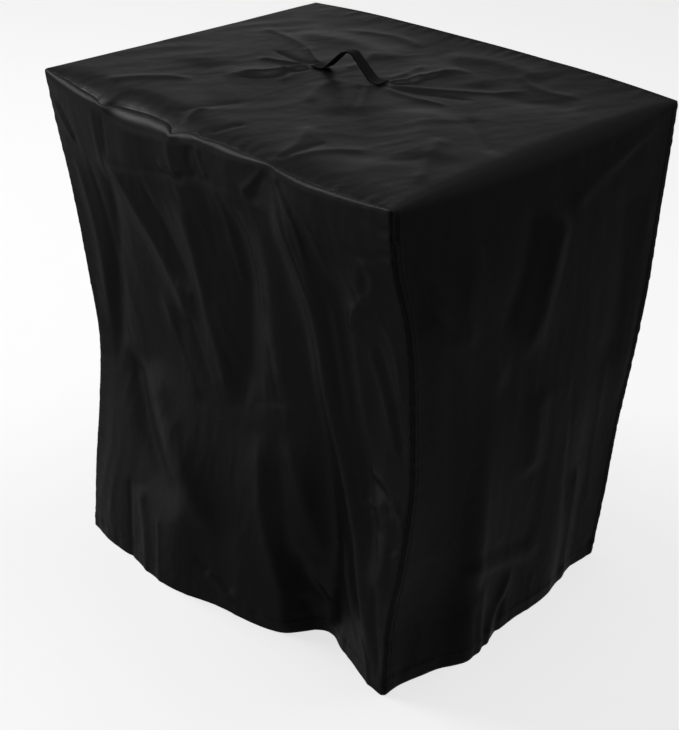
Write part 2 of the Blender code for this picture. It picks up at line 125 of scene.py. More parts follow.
# %% Corner seams
Corner = namedtuple("Corner", "down x y lift")
CORNERS = in_metres({
    "front_left": (
        Corner(0.00, -274, -239, 2),
        Corner(0.10, -264, -233, 1),
        Corner(0.20, -253, -226, 0),
        Corner(0.40, -235, -216, 0),
        Corner(0.55, -225, -209, 0),
        Corner(0.70, -223, -214, 0),
        Corner(0.85, -226, -220, 0),
        Corner(1.00, -228, -223, 0),
    ),
    "front_right": (
        Corner(0.00, 273, -256, -2),
        Corner(0.10, 278, -252, 0),
        Corner(0.20, 288, -239, 0),
        Corner(0.40, 292, -221, 0),
        Corner(0.55, 292, -213, 0),
        Corner(0.70, 286, -213, 1),
        Corner(0.85, 275, -213, 0),
        Corner(1.00, 276, -214, 0),
    ),
    "back_right": (
        Corner(0.00, 284, 256, 0),
        Corner(0.10, 285, 254, 0),
        Corner(0.20, 286, 251, 0),
        Corner(0.40, 289, 244, 0),
        Corner(0.55, 288, 236, 0),
        Corner(0.70, 286, 226, 0),
        Corner(0.85, 287, 219, 0),
        Corner(1.00, 286, 210, 0),
    ),
    "back_left": (
        Corner(0.00, -284, 240, -1),
        Corner(0.10, -280, 238, 0),
        Corner(0.20, -275, 235, 0),
        Corner(0.40, -262, 228, 0),
        Corner(0.55, -252, 222, 0),
        Corner(0.70, -245, 216, 1),
        Corner(0.85, -241, 211, 2),
        Corner(1.00, -238, 208, 3),
    ),
})
print("corner seams:", len(CORNERS))

# %% Sides and hems
Side = namedtuple("Side", "start end width")
SIDES = {
    "front": Side("front_left", "front_right", LENGTH),
    "right": Side("front_right", "back_right", WIDTH),
    "back": Side("back_right", "back_left", LENGTH),
    "left": Side("back_left", "front_left", WIDTH),
}
Hem = namedtuple("Hem", "along outward")
HEMS = in_metres({
    "front": (
        Hem(0.000, 0),
        Hem(0.090, 12),
        Hem(0.220, 18),
        Hem(0.340, 28),
        Hem(0.490, 13),
        Hem(0.570, 9),
        Hem(0.685, -10),
        Hem(0.750, -43),
        Hem(0.830, -30),
        Hem(0.960, -4),
        Hem(1.000, 0),
    ),
    "right": (
        Hem(0.000, 0),
        Hem(0.070, 1),
        Hem(0.200, 13),
        Hem(0.300, 28),
        Hem(0.340, 24),
        Hem(0.430, 18),
        Hem(0.540, 15),
        Hem(0.680, 16),
        Hem(0.850, 0),
        Hem(1.000, 0),
    ),
    "back": (
        Hem(0.000, 0),
        Hem(0.120, 10),
        Hem(0.280, 22),
        Hem(0.420, 6),
        Hem(0.520, -18),
        Hem(0.660, 14),
        Hem(0.820, 18),
        Hem(0.930, 6),
        Hem(1.000, 0),
    ),
    "left": (
        Hem(0.000, 0),
        Hem(0.150, 12),
        Hem(0.300, -14),
        Hem(0.450, 12),
        Hem(0.600, 24),
        Hem(0.780, 4),
        Hem(0.900, 8),
        Hem(1.000, 0),
    ),
})
print("sides:", {name: side.width for name, side in SIDES.items()})

# %% [markdown]
# ## The sewn top edges
#
# Between its corners the front edge of the top isn't straight. The seam sags and bellies out where
# nothing carries it, and it is pinched where a fold starts. The back edge is drawn up a little instead,
# which is a sag below zero. Each row gives the share of the way along, how far the seam sags, how far it
# bellies out, and the radius of the roll just below the seam.

# %% Sag of the sewn top edges
Sag = namedtuple("Sag", "along down outward roll")
SAGS = in_metres({
    "front": (
        Sag(0.000, 0, 0, 3),
        Sag(0.030, 2.2, 2.2, 6),
        Sag(0.080, 5.2, 5.2, 10),
        Sag(0.120, 7.5, 7, 10),
        Sag(0.180, 9.5, 8.5, 8),
        Sag(0.211, 11, 9, 2.8),
        Sag(0.240, 11, 10, 14),
        Sag(0.280, 10.5, 11, 20),
        Sag(0.360, 8.5, 9, 19),
        Sag(0.405, 9.5, 9, 14),
        Sag(0.424, 12, 9, 6),
        Sag(0.445, 8.5, 8, 13),
        Sag(0.480, 6, 5.5, 10),
        Sag(0.502, 6, 4, 6),
        Sag(0.540, 5, 5, 10),
        Sag(0.620, 4.5, 4.5, 8),
        Sag(0.665, 3.5, 3, 5),
        Sag(0.693, 3, 2, 2.5),
        Sag(0.725, 4.5, 4, 5),
        Sag(0.790, 6, 5.5, 7),
        Sag(0.870, 4.5, 4, 6.5),
        Sag(0.940, 2.5, 1.5, 4.5),
        Sag(1.000, 0, 0, 3),
    ),
    "back": (
        Sag(0.000, 0, 0, 3),
        Sag(0.100, -3, 3, 5),
        Sag(0.210, -5.2, 5.6, 6),
        Sag(0.330, -5.6, 4.8, 3),
        Sag(0.450, -6.5, 6.6, 6),
        Sag(0.600, -6.4, 5.8, 6),
        Sag(0.690, -5.8, 4.2, 3),
        Sag(0.850, -4.2, 4.4, 5),
        Sag(1.000, 0, 0, 3),
    ),
})
SAG_REACH_ON_TOP = {"front": 45 * MM, "back": 90 * MM}
BELLY_REACH_ON_TOP = 120 * MM
BELLY_REACH_DOWN = 200 * MM
print("rows along the sewn edges:", {name: len(rows) for name, rows in SAGS.items()})

# %% [markdown]
# ## Folds and creases
#
# Cloth that hangs from a few points makes folds that run from each point and die out. One row is one
# fold: its path over the flat panel, half its width, and its height, which is negative for a trough.
# A place on a side is counted along it and down from its top, and one on the top from the middle of it.
# The first tables hold the main folds, as in the solids. The second ones hold the finer creases.

# %% Rows of folds
Fold = namedtuple("Fold", "path half_width rise")


def folds_in_metres(table):
    """A table of folds in millimetres, turned to metres."""
    return {
        place: tuple(Fold(np.array(row.path) * MM, row.half_width * MM, row.rise * MM) for row in rows)
        for place, rows in table.items()
    }


# %% Main folds
FOLDS = folds_in_metres({
    "front": (
        Fold(((98, 70), (90, 131), (62, 255), (40, 380)), 14, -4.3),
        Fold(((112, 320), (158, 400), (202, 455), (264, 525)), 24, 9),
        Fold(((68, 320), (96, 395), (132, 452), (202, 516)), 20, -8.5),
        Fold(((112, 500), (131, 560), (146, 650)), 11, 3.7),
        Fold(((100, 55), (137, 117), (180, 190), (205, 250)), 16, 5.6),
        Fold(((228, 70), (229, 149), (245, 255), (262, 340)), 15, 5),
        Fold(((308, 55), (313, 133), (305, 209), (278, 350)), 24, -8.7),
        Fold(((362, 55), (349, 156), (345, 220), (358, 300)), 20, 5),
        Fold(((306, 343), (328, 452), (368, 555), (380, 650)), 14, 5.6),
        Fold(((338, 331), (360, 460), (388, 550), (412, 650)), 15, -5.5),
        Fold(((350, 335), (380, 410), (406, 495), (424, 580)), 15, 4.5),
        Fold(((393, 120), (403, 272), (414, 400), (424, 520)), 18, -4.8),
        Fold(((383, 4), (415, 121), (438, 312), (475, 440), (530, 600)), 17, 10.5),
        Fold(((450, 70), (462, 168), (479, 337), (517, 480)), 14, -5.6),
        Fold(((505, 60), (491, 117), (472, 165), (484, 334)), 12, 4.3),
        Fold(((498, 350), (518, 410), (536, 500)), 15, 4.3),
    ),
    "right": (
        Fold(((462, 12), (392, 36), (336, 60), (290, 85)), 12, 2.8),
        Fold(((292, 80), (270, 120), (250, 177), (212, 250)), 22, 5),
        Fold(((232, 55), (209, 127), (165, 200)), 18, -3.9),
        Fold(((126, 70), (107, 131), (100, 190)), 20, 2.8),
        Fold(((30, 105), (69, 159), (134, 214), (185, 265)), 17, 3.9),
        Fold(((410, 70), (425, 200), (432, 330)), 36, -3.8),
        Fold(((470, 90), (474, 228), (478, 400)), 18, 1.8),
        Fold(((258, 290), (256, 410)), 22, 3.3),
        Fold(((110, 484), (211, 507), (315, 529)), 15, 3),
        Fold(((168, 520), (170, 580), (172, 650)), 10, 3.5),
        Fold(((250, 532), (222, 566), (198, 600), (192, 650)), 10, 4),
        Fold(((234, 566), (222, 650)), 10, -3),
        Fold(((388, 440), (396, 531), (410, 650)), 12, 3.9),
    ),
    "back": (
        Fold(((60, 60), (85, 210), (120, 380)), 16, 5.8),
        Fold(((130, 70), (150, 200), (142, 330)), 18, -6.5),
        Fold(((215, 55), (200, 180), (225, 320), (250, 460)), 18, 7.2),
        Fold(((290, 80), (300, 260), (292, 440), (288, 650)), 22, -9.4),
        Fold(((350, 60), (372, 190), (360, 330)), 16, 5.8),
        Fold(((350, 400), (372, 520), (380, 650)), 15, 6.5),
        Fold(((440, 55), (425, 200), (440, 360), (462, 520)), 17, 6.5),
        Fold(((500, 90), (486, 230), (500, 400)), 14, -5),
        Fold(((150, 430), (170, 530), (160, 650)), 14, 6.5),
        Fold(((60, 450), (90, 540), (100, 650)), 13, -4.3),
    ),
    "left": (
        Fold(((70, 55), (80, 180), (105, 330)), 16, 5),
        Fold(((150, 80), (140, 240), (150, 420), (150, 650)), 20, -7.9),
        Fold(((215, 60), (230, 190), (222, 350)), 17, 6.5),
        Fold(((300, 70), (285, 230), (300, 380)), 20, -5.8),
        Fold(((370, 55), (350, 200), (330, 360), (320, 500)), 17, 6.5),
        Fold(((430, 80), (425, 260), (440, 430)), 14, -4.3),
        Fold(((230, 440), (240, 540), (250, 650)), 15, 5.8),
        Fold(((400, 470), (390, 560), (385, 650)), 13, 5),
    ),
    "top": (
        Fold(((-94, -12), (-102, -46), (-128, -92)), 14, 2.6),
        Fold(((30, 64), (40, 108), (46, 156)), 14, 2.6),
        Fold(((40, -60), (110, -110), (170, -190)), 26, -3),
        Fold(((110, 10), (160, -70), (215, -130)), 24, 3),
        Fold(((-190, -60), (-120, -130), (-40, -180)), 26, -2.6),
        Fold(((-200, 100), (-110, 130), (-20, 110)), 24, 2.6),
        Fold(((80, 120), (150, 110), (225, 150)), 22, -2.6),
        Fold(((-10, 170), (60, 200), (140, 190)), 20, 2.6),
    ),
})
print("main folds:", {place: len(rows) for place, rows in FOLDS.items()})

# %% Fine creases
CREASES = folds_in_metres({
    "front": (
        Fold(((116, 6), (112, 38), (105, 66)), 3.2, -1.3),
        Fold(((98, 4), (94, 50), (92, 110)), 6, 1.4),
        Fold(((376, 5), (357, 26), (336, 45)), 4.5, 2.8),
        Fold(((376, 6), (362, 32), (354, 52)), 8, -2.4),
        Fold(((387, 5), (400, 22), (421, 60), (428, 122)), 5, 2.8),
        Fold(((384, 8), (397, 40), (409, 85), (421, 150)), 4, -2.4),
        Fold(((392, 8), (415, 38), (438, 82)), 5, -2.1),
        Fold(((395, 10), (425, 32), (447, 66), (452, 110)), 5, 1.7),
        Fold(((273, 6), (276, 26), (283, 44)), 4, 2.1),
        Fold(((262, 10), (258, 32), (268, 46)), 5, -1.7),
        Fold(((232, 8), (228, 30), (236, 50)), 5, 1.4),
        Fold(((205, 46), (226, 44), (246, 47)), 3.5, 1.7),
        Fold(((205, 53), (226, 52), (246, 54)), 3.5, -1.4),
        Fold(((300, 58), (297, 120), (302, 170)), 5, 1.7),
        Fold(((330, 60), (333, 130), (330, 200)), 6, 1.7),
        Fold(((322, 60), (324, 120), (321, 175)), 5, -1.4),
        Fold(((160, 70), (185, 130), (215, 205)), 9, -2),
        Fold(((186, 196), (200, 202), (214, 208)), 5, 1.4),
        Fold(((150, 215), (180, 290), (210, 350)), 11, 1.8),
        Fold(((196, 205), (206, 262), (232, 330)), 7, -1),
        Fold(((172, 250), (188, 300), (222, 362)), 7, -1.1),
        Fold(((236, 196), (250, 250), (270, 290)), 6, -1),
        Fold(((250, 190), (262, 240), (284, 280)), 6, 1),
        Fold(((335, 226), (337, 264), (341, 300)), 3.5, -1.4),
        Fold(((294, 322), (330, 304), (381, 288)), 5, -0.6),
        Fold(((330, 315), (346, 308), (362, 322)), 8, 1.2),
        Fold(((378, 490), (394, 543), (415, 578)), 5.5, -2.8),
        Fold(((395, 498), (408, 540), (420, 566)), 7, 2.1),
        Fold(((446, 350), (456, 346), (466, 348)), 2.5, -0.8),
        Fold(((476, 382), (488, 376), (500, 374)), 2.5, 1.3),
        Fold(((474, 390), (488, 386), (500, 380)), 3.5, -0.6),
        Fold(((414, 475), (424, 470), (434, 470)), 2.5, -0.8),
        Fold(((446, 130), (452, 200), (462, 300)), 6, 1.7),
        Fold(((436, 110), (443, 190), (453, 290)), 5, -1.7),
        Fold(((500, 63), (518, 77), (512, 100), (491, 117)), 4.5, 2.1),
        Fold(((508, 75), (502, 96), (484, 112)), 4.5, -1.7),
        Fold(((491, 117), (475, 136), (469, 156)), 4.5, 2.1),
        Fold(((491, 160), (513, 226), (530, 304)), 6.5, 2.4),
        Fold(((502, 150), (524, 220), (538, 300)), 5.5, -2.1),
        Fold(((479, 333), (509, 338), (536, 368), (545, 391)), 5, 2.1),
        Fold(((484, 345), (508, 352), (528, 378)), 4.5, -2),
        Fold(((506, 396), (522, 409), (539, 423)), 8, -1.8),
        Fold(((503, 404), (514, 440), (524, 480)), 5, 1.7),
        Fold(((520, 130), (532, 170), (538, 230)), 4.5, 1.5),
        Fold(((515, 470), (528, 530), (541, 600)), 6, -2.1),
        Fold(((500, 560), (514, 590), (526, 640)), 5, 1.7),
        Fold(((246, 576), (270, 588), (298, 608)), 9, 1.8),
        Fold(((225, 560), (262, 572), (300, 590)), 9, -2.1),
        Fold(((88, 500), (96, 560), (104, 650)), 6, -2.4),
        Fold(((158, 520), (166, 570), (176, 650)), 5.5, 1.7),
        Fold(((30, 80), (40, 200), (36, 330)), 10, 2.1),
        Fold(((60, 70), (66, 190), (56, 280)), 7, -1.7),
        Fold(((10, 30), (26, 52), (40, 70)), 4, 2.1),
        Fold(((20, 28), (36, 50), (48, 74)), 3.2, -1.2),
        Fold(((385, 560), (396, 600), (404, 650)), 5, -2.1),
        Fold(((436, 440), (460, 520), (494, 600)), 4, 1.3),
        Fold(((120, 380), (160, 430), (196, 470)), 8, 2.1),
        Fold(((100, 72), (147, 66), (204, 56), (266, 46), (330, 47)), 2.8, -1),
        Fold(((310, 46), (377, 40), (430, 50), (490, 60), (552, 57)), 2.8, -0.7),
        Fold(((150, 78), (204, 68), (266, 58), (330, 58)), 6, 0.7),
    ),
    "right": (
        Fold(((5.5, 2), (5.5, 20), (6, 40)), 3.5, -3),
        Fold(((469, 14), (425, 32), (381, 48), (357, 60)), 5.7, 0.9),
        Fold(((357, 58), (326, 66), (297, 73), (250, 84)), 5.7, 0.8),
        Fold(((440, 34), (400, 52), (360, 72)), 6.9, -0.8),
        Fold(((288, 78), (268, 120), (244, 178)), 6.9, 0.9),
        Fold(((300, 90), (286, 140), (262, 200)), 8, -0.8),
        Fold(((30, 60), (62, 110), (110, 150)), 6.9, 0.7),
        Fold(((430, 120), (446, 240), (462, 360)), 10, 0.4),
        Fold(((472, 60), (478, 220), (486, 420)), 10, -0.4),
        Fold(((412, 300), (432, 420), (446, 540)), 9.2, 1.1),
        Fold(((330, 300), (350, 400), (372, 520)), 10.3, -1.1),
        Fold(((120, 470), (200, 488), (290, 508)), 6.9, -0.9),
        Fold(((140, 496), (220, 516), (300, 540)), 5.7, 0.7),
        Fold(((154, 540), (156, 590), (158, 650)), 5.7, -0.9),
        Fold(((184, 556), (186, 600), (182, 650)), 5.2, -0.9),
        Fold(((250, 560), (236, 600), (232, 650)), 5.7, 0.9),
        Fold(((300, 560), (302, 600), (306, 650)), 6.9, 0.7),
        Fold(((420, 480), (430, 560), (444, 650)), 6.9, -0.9),
        Fold(((20, 480), (60, 540), (80, 640)), 9.2, 0.9),
        Fold(((50, 440), (110, 500), (130, 560)), 9.2, -0.9),
    ),
    "back": (
        Fold(((180, 6), (176, 40), (165, 80)), 5, 2.8),
        Fold(((180, 8), (190, 50), (194, 110)), 5, -2.4),
        Fold(((380, 6), (392, 50), (398, 120)), 5, 2.8),
        Fold(((380, 8), (372, 46), (362, 90)), 5, -2.4),
        Fold(((250, 120), (258, 230), (262, 330)), 6, 2),
        Fold(((100, 150), (118, 260), (112, 360)), 6, 2),
        Fold(((330, 330), (322, 440), (336, 540)), 6, 2.2),
        Fold(((405, 300), (412, 420), (420, 560)), 6, -2.2),
        Fold(((475, 250), (470, 380), (484, 520)), 5.5, 2),
        Fold(((200, 450), (216, 540), (226, 650)), 6, -2.4),
        Fold(((24, 200), (30, 330), (26, 460)), 5, 1.8),
        Fold(((530, 150), (524, 300), (530, 450)), 5, 1.8),
    ),
    "left": (
        Fold(((40, 100), (44, 230), (56, 360)), 5.5, 2),
        Fold(((110, 70), (112, 200), (122, 300)), 6, 2),
        Fold(((185, 120), (190, 260), (184, 380)), 6, -2),
        Fold(((260, 80), (256, 210), (262, 330)), 6, 2),
        Fold(((330, 100), (322, 220), (310, 340)), 6, -2),
        Fold(((400, 100), (392, 240), (384, 380)), 6, 2),
        Fold(((460, 120), (458, 300), (466, 460)), 5, 1.8),
        Fold(((190, 450), (196, 540), (200, 650)), 6, -2.2),
        Fold(((340, 460), (346, 550), (350, 650)), 6, 2.2),
    ),
    "top": (
        Fold(((-80, 12), (-91, -4), (-97, -42), (-125, -76)), 4.5, 3),
        Fold(((-72, 10), (-84, -10), (-88, -50), (-112, -90)), 4.5, -2.4),
        Fold(((-84, 16), (-110, 4), (-150, -12)), 4.5, 2.6),
        Fold(((-86, 24), (-116, 22), (-160, 30)), 4.5, -2.4),
        Fold(((-86, 30), (-108, 44), (-140, 66)), 4.5, 2.2),
        Fold(((-70, 12), (-72, -20), (-66, -60)), 5, 1.5),
        Fold(((16, 42), (24, 55), (34, 96), (42, 146)), 4.5, 3),
        Fold(((22, 40), (34, 60), (46, 110)), 4.5, -2.4),
        Fold(((24, 32), (60, 52), (110, 96), (150, 150)), 5.5, 2),
        Fold(((26, 26), (70, 40), (130, 70)), 5.5, -1.6),
        Fold(((24, 20), (70, 18), (120, 30)), 5.5, 1.5),
        Fold(((10, 46), (10, 80), (4, 130)), 5, 1.5),
        Fold(((-50, 40), (-54, 80), (-70, 120)), 6, 1.5),
        Fold(((-30, 10), (-20, -40), (10, -90)), 8, 1.5),
        Fold(((0, 10), (30, -30), (60, -80)), 7, -1.5),
        Fold(((-120, 60), (-180, 80), (-240, 90)), 8, 1.5),
        Fold(((-140, -120), (-180, -170), (-200, -215)), 8, 1.8),
        Fold(((-40, -130), (-60, -180), (-66, -225)), 7, -1.8),
        Fold(((104, -236), (90, -190), (60, -140)), 8, 2),
        Fold(((112, -236), (120, -190), (150, -140)), 8, 1.8),
        Fold(((106, -238), (105, -200), (104, -160)), 5, -1.8),
        Fold(((-42, -232), (-52, -206), (-56, -180)), 3.5, 2),
        Fold(((-1, -236), (6, -214), (10, -190)), 3.5, -1.8),
        Fold(((180, -60), (210, -120), (250, -190)), 9, 1.8),
        Fold(((150, 20), (200, -20), (250, -60)), 10, -1.8),
        Fold(((100, 180), (150, 160), (210, 170)), 8, 1.5),
        Fold(((-170, 160), (-100, 190), (-40, 180)), 9, 1.5),
    ),
})
print("fine creases:", {place: len(rows) for place, rows in CREASES.items()})

# %% [markdown]
# ## Reading the tables
#
# Between rows a value follows a cubic curve whose slope at each row comes from its neighbours, so
# nothing kinks at a row. A coated cloth doesn't bend in round waves: it pinches, so a fold has a narrow
# crest and nearly flat flanks that run out into the panel. It eases out at its ends.

# %% Curves through table rows
def smooth_read(at, places, values):
    """Read a table between its rows, on a smooth curve through them."""
    places = np.asarray(places, float)
    values = np.asarray(values, float)
    slopes = np.gradient(values, places)
    row = np.clip(np.searchsorted(places, at) - 1, 0, len(places) - 2)
    gap = places[row + 1] - places[row]
    t = (at - places[row]) / gap
    return (
        (2 * t**3 - 3 * t**2 + 1) * values[row]
        + (t**3 - 2 * t**2 + t) * gap * slopes[row]
        + (3 * t**2 - 2 * t**3) * values[row + 1]
        + (t**3 - t**2) * gap * slopes[row + 1]
    )


def read_rows(at, rows, column):
    """Read one named column of a table of rows, by its first column."""
    return smooth_read(at, [row[0] for row in rows], [getattr(row, column) for row in rows])


def ease(t):
    """Go smoothly from 0 to 1."""
    t = np.clip(t, 0, 1)
    return t * t * (3 - 2 * t)


print("halfway of an eased step:", float(ease(0.5)))

# %% Height of folds
PATH_STEPS = 10
FOLD_END = 0.18
FOLD_REACH = 4.5
RUN_OUT = 2.2
CREST = {"main": 0.5, "fine": 0.35}
FLANK = 1.3


def fold_relief(fold, across, down, crest):
    """Height of one fold over the flat panel: a pinched ridge along its path that fades at both ends."""
    places = np.linspace(0, 1, len(fold.path))
    fine = np.linspace(0, 1, PATH_STEPS * (len(fold.path) - 1) + 1)
    line = np.stack([smooth_read(fine, places, fold.path[:, axis]) for axis in (0, 1)], axis=1)
    reach = FOLD_REACH * fold.half_width
    low, high = line.min(axis=0) - reach, line.max(axis=0) + reach
    near = (across > low[0]) & (across < high[0]) & (down > low[1]) & (down < high[1])
    x, y = across[near], down[near]
    nearest = np.full(x.shape, np.inf)
    share = np.zeros(x.shape)
    for step, (a, b) in enumerate(zip(line[:-1], line[1:])):
        run = b - a
        t = np.clip(((x - a[0]) * run[0] + (y - a[1]) * run[1]) / (run @ run), 0, 1)
        distance = np.hypot(x - a[0] - t * run[0], y - a[1] - t * run[1])
        closer = distance < nearest
        nearest = np.where(closer, distance, nearest)
        share = np.where(closer, (step + t) / (len(line) - 1), share)
    fade = ease(share / FOLD_END) * ease((1 - share) / FOLD_END)
    height = np.zeros(across.shape)
    pinch = np.hypot(nearest / fold.half_width, crest) - crest
    run_out = ease((FOLD_REACH - nearest / fold.half_width) / RUN_OUT)
    height[near] = fold.rise * fade * run_out * np.exp(-FLANK * pinch)
    return height


def relief_of(kind, place, across, down):
    """All the main folds or all the fine creases of one panel, added up."""
    table = FOLDS if kind == "main" else CREASES
    return sum(fold_relief(fold, across, down, CREST[kind]) for fold in table[place])


print("height on a ridge:", float(relief_of("main", "front", np.array([0.129]), np.array([0.4]))[0]))

# %% [markdown]
# ## Wrinkles too small to place one by one
#
# Coated cloth also crumples in small, crisp wrinkles. They follow no plan, but they have a size and a
# direction, so seeded noise makes them: long and upright on the sides, along the pull on the top, and
# short and square to a seam where sewing has drawn the cloth up. The seeds are fixed, so that each run
# gives the same cloth.

# %% Soft noise
LATTICE = 64
NOISE_GAIN = 1.5
CRISP_GAIN = 2.4


def noise(x, y, seed):
    """Smooth random heights of about -1 to 1, one bump per unit, from slopes on a square lattice."""
    angles = np.random.default_rng(seed).uniform(0, 2 * math.pi, (LATTICE, LATTICE))
    column = np.floor(x).astype(int)
    row = np.floor(y).astype(int)
    in_x = x - column
    in_y = y - row
    fade_x = in_x**3 * (in_x * (6 * in_x - 15) + 10)
    fade_y = in_y**3 * (in_y * (6 * in_y - 15) + 10)

    def pull(i, j):
        angle = angles[(column + i) % LATTICE, (row + j) % LATTICE]
        return np.cos(angle) * (in_x - i) + np.sin(angle) * (in_y - j)

    lower = pull(0, 0) * (1 - fade_x) + pull(1, 0) * fade_x
    upper = pull(0, 1) * (1 - fade_x) + pull(1, 1) * fade_x
    return NOISE_GAIN * (lower * (1 - fade_y) + upper * fade_y)


def crisp(x, y, seed):
    """Noise folded at zero, which gives narrow ridges with broad hollows between them."""
    return 1 - CRISP_GAIN * np.abs(noise(x, y, seed))


print("noise at a place:", round(float(noise(np.array([3.3]), np.array([1.7]), 1)[0]), 3))

# %% Small wrinkles, by size and direction
Rumple = namedtuple("Rumple", "across along height patchy seed")
RUMPLES = {
    "front": (
        Rumple(40 * MM, 230 * MM, 0.60 * MM, 0.5, 11),
        Rumple(17 * MM, 60 * MM, 0.28 * MM, 1.0, 12),
        Rumple(8 * MM, 18 * MM, 0.11 * MM, 1.0, 13),
    ),
    "right": (
        Rumple(50 * MM, 230 * MM, 0.45 * MM, 0.5, 21),
        Rumple(20 * MM, 60 * MM, 0.14 * MM, 1.0, 22),
    ),
    "back": (
        Rumple(40 * MM, 210 * MM, 0.70 * MM, 0.5, 31),
        Rumple(18 * MM, 64 * MM, 0.30 * MM, 1.0, 32),
    ),
    "left": (
        Rumple(44 * MM, 210 * MM, 0.70 * MM, 0.5, 41),
        Rumple(20 * MM, 70 * MM, 0.30 * MM, 1.0, 42),
    ),
    "top": (
        Rumple(34 * MM, 150 * MM, 0.40 * MM, 0.6, 51),
        Rumple(14 * MM, 52 * MM, 0.14 * MM, 1.0, 52),
    ),
}
PATCH = 110 * MM
PATCH_CONTRAST = 0.9
SWAY = 9 * MM
SWAY_SEED = 100
PATCH_SEED = 200
PULL_OF_TOP = math.radians(68)


def rumple_relief(place, across, along):
    """Small wrinkles of one panel. They run along the second coordinate, and sway from side to side."""
    height = np.zeros(across.shape)
    for row in RUMPLES[place]:
        swayed = across + SWAY * noise(across / PATCH, along / PATCH, row.seed + SWAY_SEED)
        patch = ease(0.5 + PATCH_CONTRAST * noise(across / PATCH, along / PATCH, row.seed + PATCH_SEED))
        share = 1 - row.patchy + row.patchy * patch
        height += row.height * share * crisp(swayed / row.across, along / row.along, row.seed)
    return height


print("sizes of small wrinkles:", {place: len(rows) for place, rows in RUMPLES.items()})

# %% Puckers, felled seams and hems
PUCKER_LENGTH = 9 * MM
PUCKER_REACH = 15 * MM
PUCKER_HEIGHT = 1.2 * MM
PUCKER_START = 3 * MM
FELL_START = 3 * MM
FELL_WIDTH = 10 * MM
FELL_HEIGHT = 0.5 * MM
FELL_EDGE = 1.5 * MM
HEM_HEIGHT = 0.35 * MM
HEM_PUCKER_LENGTH = 13 * MM
HEM_PUCKER_SPREAD = 12 * MM
HEM_WAVE = 1.2 * MM


def puckers(along, distance, seed):
    """Short wrinkles square to a seam, which sewing has drawn up."""
    grow = ease(distance / PUCKER_START) * np.exp(-distance / PUCKER_REACH)
    return PUCKER_HEIGHT * grow * noise(along / PUCKER_LENGTH, distance / (3 * PUCKER_REACH), seed)


def felled_band(distance):
    """The flat raised band beside a seam whose allowance is folded under and stitched down."""
    inner = ease((distance - FELL_START) / FELL_EDGE)
    outer = ease((FELL_START + FELL_WIDTH - distance) / FELL_EDGE)
    return FELL_HEIGHT * inner * outer


def hem_relief(along, rise, seed):
    """The hem, by height over its edge: a doubled band, with puckers round the row of stitches."""
    band = HEM_HEIGHT * ease((HEM_DEPTH - rise) / FELL_EDGE)
    near_stitches = np.exp(-(((rise - HEM_ROW) / HEM_PUCKER_SPREAD) ** 2))
    wrinkle = noise(along / HEM_PUCKER_LENGTH, rise / (2 * HEM_DEPTH), seed)
    return band + PUCKER_HEIGHT * near_stitches * wrinkle


print("band beside a seam:", round(float(felled_band(np.array([8 * MM]))[0]) / MM, 2), "mm high")

# %% [markdown]
# ## The surface of each panel
#
# A side is a flat panel in the cutter's sense: a place on it is a distance along and a drop. The place
# becomes a point in space by blending the two corner seams, then pushing the point outwards by the hem's
# outline, the folds and the wrinkles. Near a seam the cloth curls inwards, round a quarter of an ellipse.

# %% Corner seams and curled edges
def corner_point(name, down):
    """The point of a corner seam at a share of the way down."""
    x, y, lift = (read_rows(down, CORNERS[name], column) for column in ("x", "y", "lift"))
    return np.stack([x, y, TOP_LEVEL - HEIGHT * down + lift], axis=-1)


def edge_curl(distance, reach, depth):
    """How far a sheet falls inwards at this distance from its edge, round a quarter ellipse."""
    share = np.clip((reach - distance) / reach, 0, 1)
    return depth * (1 - np.sqrt(1 - share**2))


print("front corner at the hem:", np.round(corner_point("front_right", np.ones(1))[0], 3))

# %% Hanging sides
CREASES_FADE_AT_SEAM = 7 * MM
CREASES_FADE_AT_TOP = 4 * MM
DRAWN_FLAT_AT_TOP = 0.75
FULL_DEPTH_AT = 380 * MM
SIDE_SEEDS = {"front": 61, "right": 62, "back": 63, "left": 64}
HEM_SEED = 10
WAVE_SEED = 20


def side_point(name, along, drop, curl_reach, curl_depth):
    """A point of a side's outer face, by a share of the way along the side and a drop from its top."""
    side = SIDES[name]
    down = drop / HEIGHT
    start = corner_point(side.start, down)
    end = corner_point(side.end, down)
    run = (end - start)[..., :2]
    run = run / np.linalg.norm(run, axis=-1, keepdims=True)
    outward = np.stack([run[..., 1], -run[..., 0], np.zeros(down.shape)], axis=-1)
    place = along * side.width
    edge = np.minimum(along, 1 - along) * side.width
    seed = SIDE_SEEDS[name]

    push = read_rows(along, HEMS[name], "outward") * ease((down - HEM_STARTS) / (1 - HEM_STARTS))
    depth = DRAWN_FLAT_AT_TOP + (1 - DRAWN_FLAT_AT_TOP) * ease(drop / FULL_DEPTH_AT)
    main_fade = depth * ease(edge / FOLDS_FADE_AT_SEAM) * ease(drop / FOLDS_FADE_AT_TOP)
    fine_fade = depth * ease(edge / CREASES_FADE_AT_SEAM) * ease(drop / CREASES_FADE_AT_TOP)
    push += relief_of("main", name, place, drop) * main_fade
    push += (relief_of("fine", name, place, drop) + rumple_relief(name, place, drop)) * fine_fade
    push += puckers(drop, edge, seed) + hem_relief(place, HEIGHT - drop, seed + HEM_SEED)
    push -= edge_curl(edge, curl_reach, curl_depth)
    if name in SAGS:
        push += read_rows(along, SAGS[name], "outward") * (1 - ease(drop / BELLY_REACH_DOWN))
    else:
        push += felled_band(edge)

    point = start + (end - start) * along[..., None] + outward * push[..., None]
    if name in SAGS:
        point[..., 2] -= read_rows(along, SAGS[name], "down") * (1 - down)
    wave = noise(place / (4 * HEM_PUCKER_LENGTH), np.zeros(place.shape), seed + WAVE_SEED)
    point[..., 2] += HEM_WAVE * wave * down**8
    return point


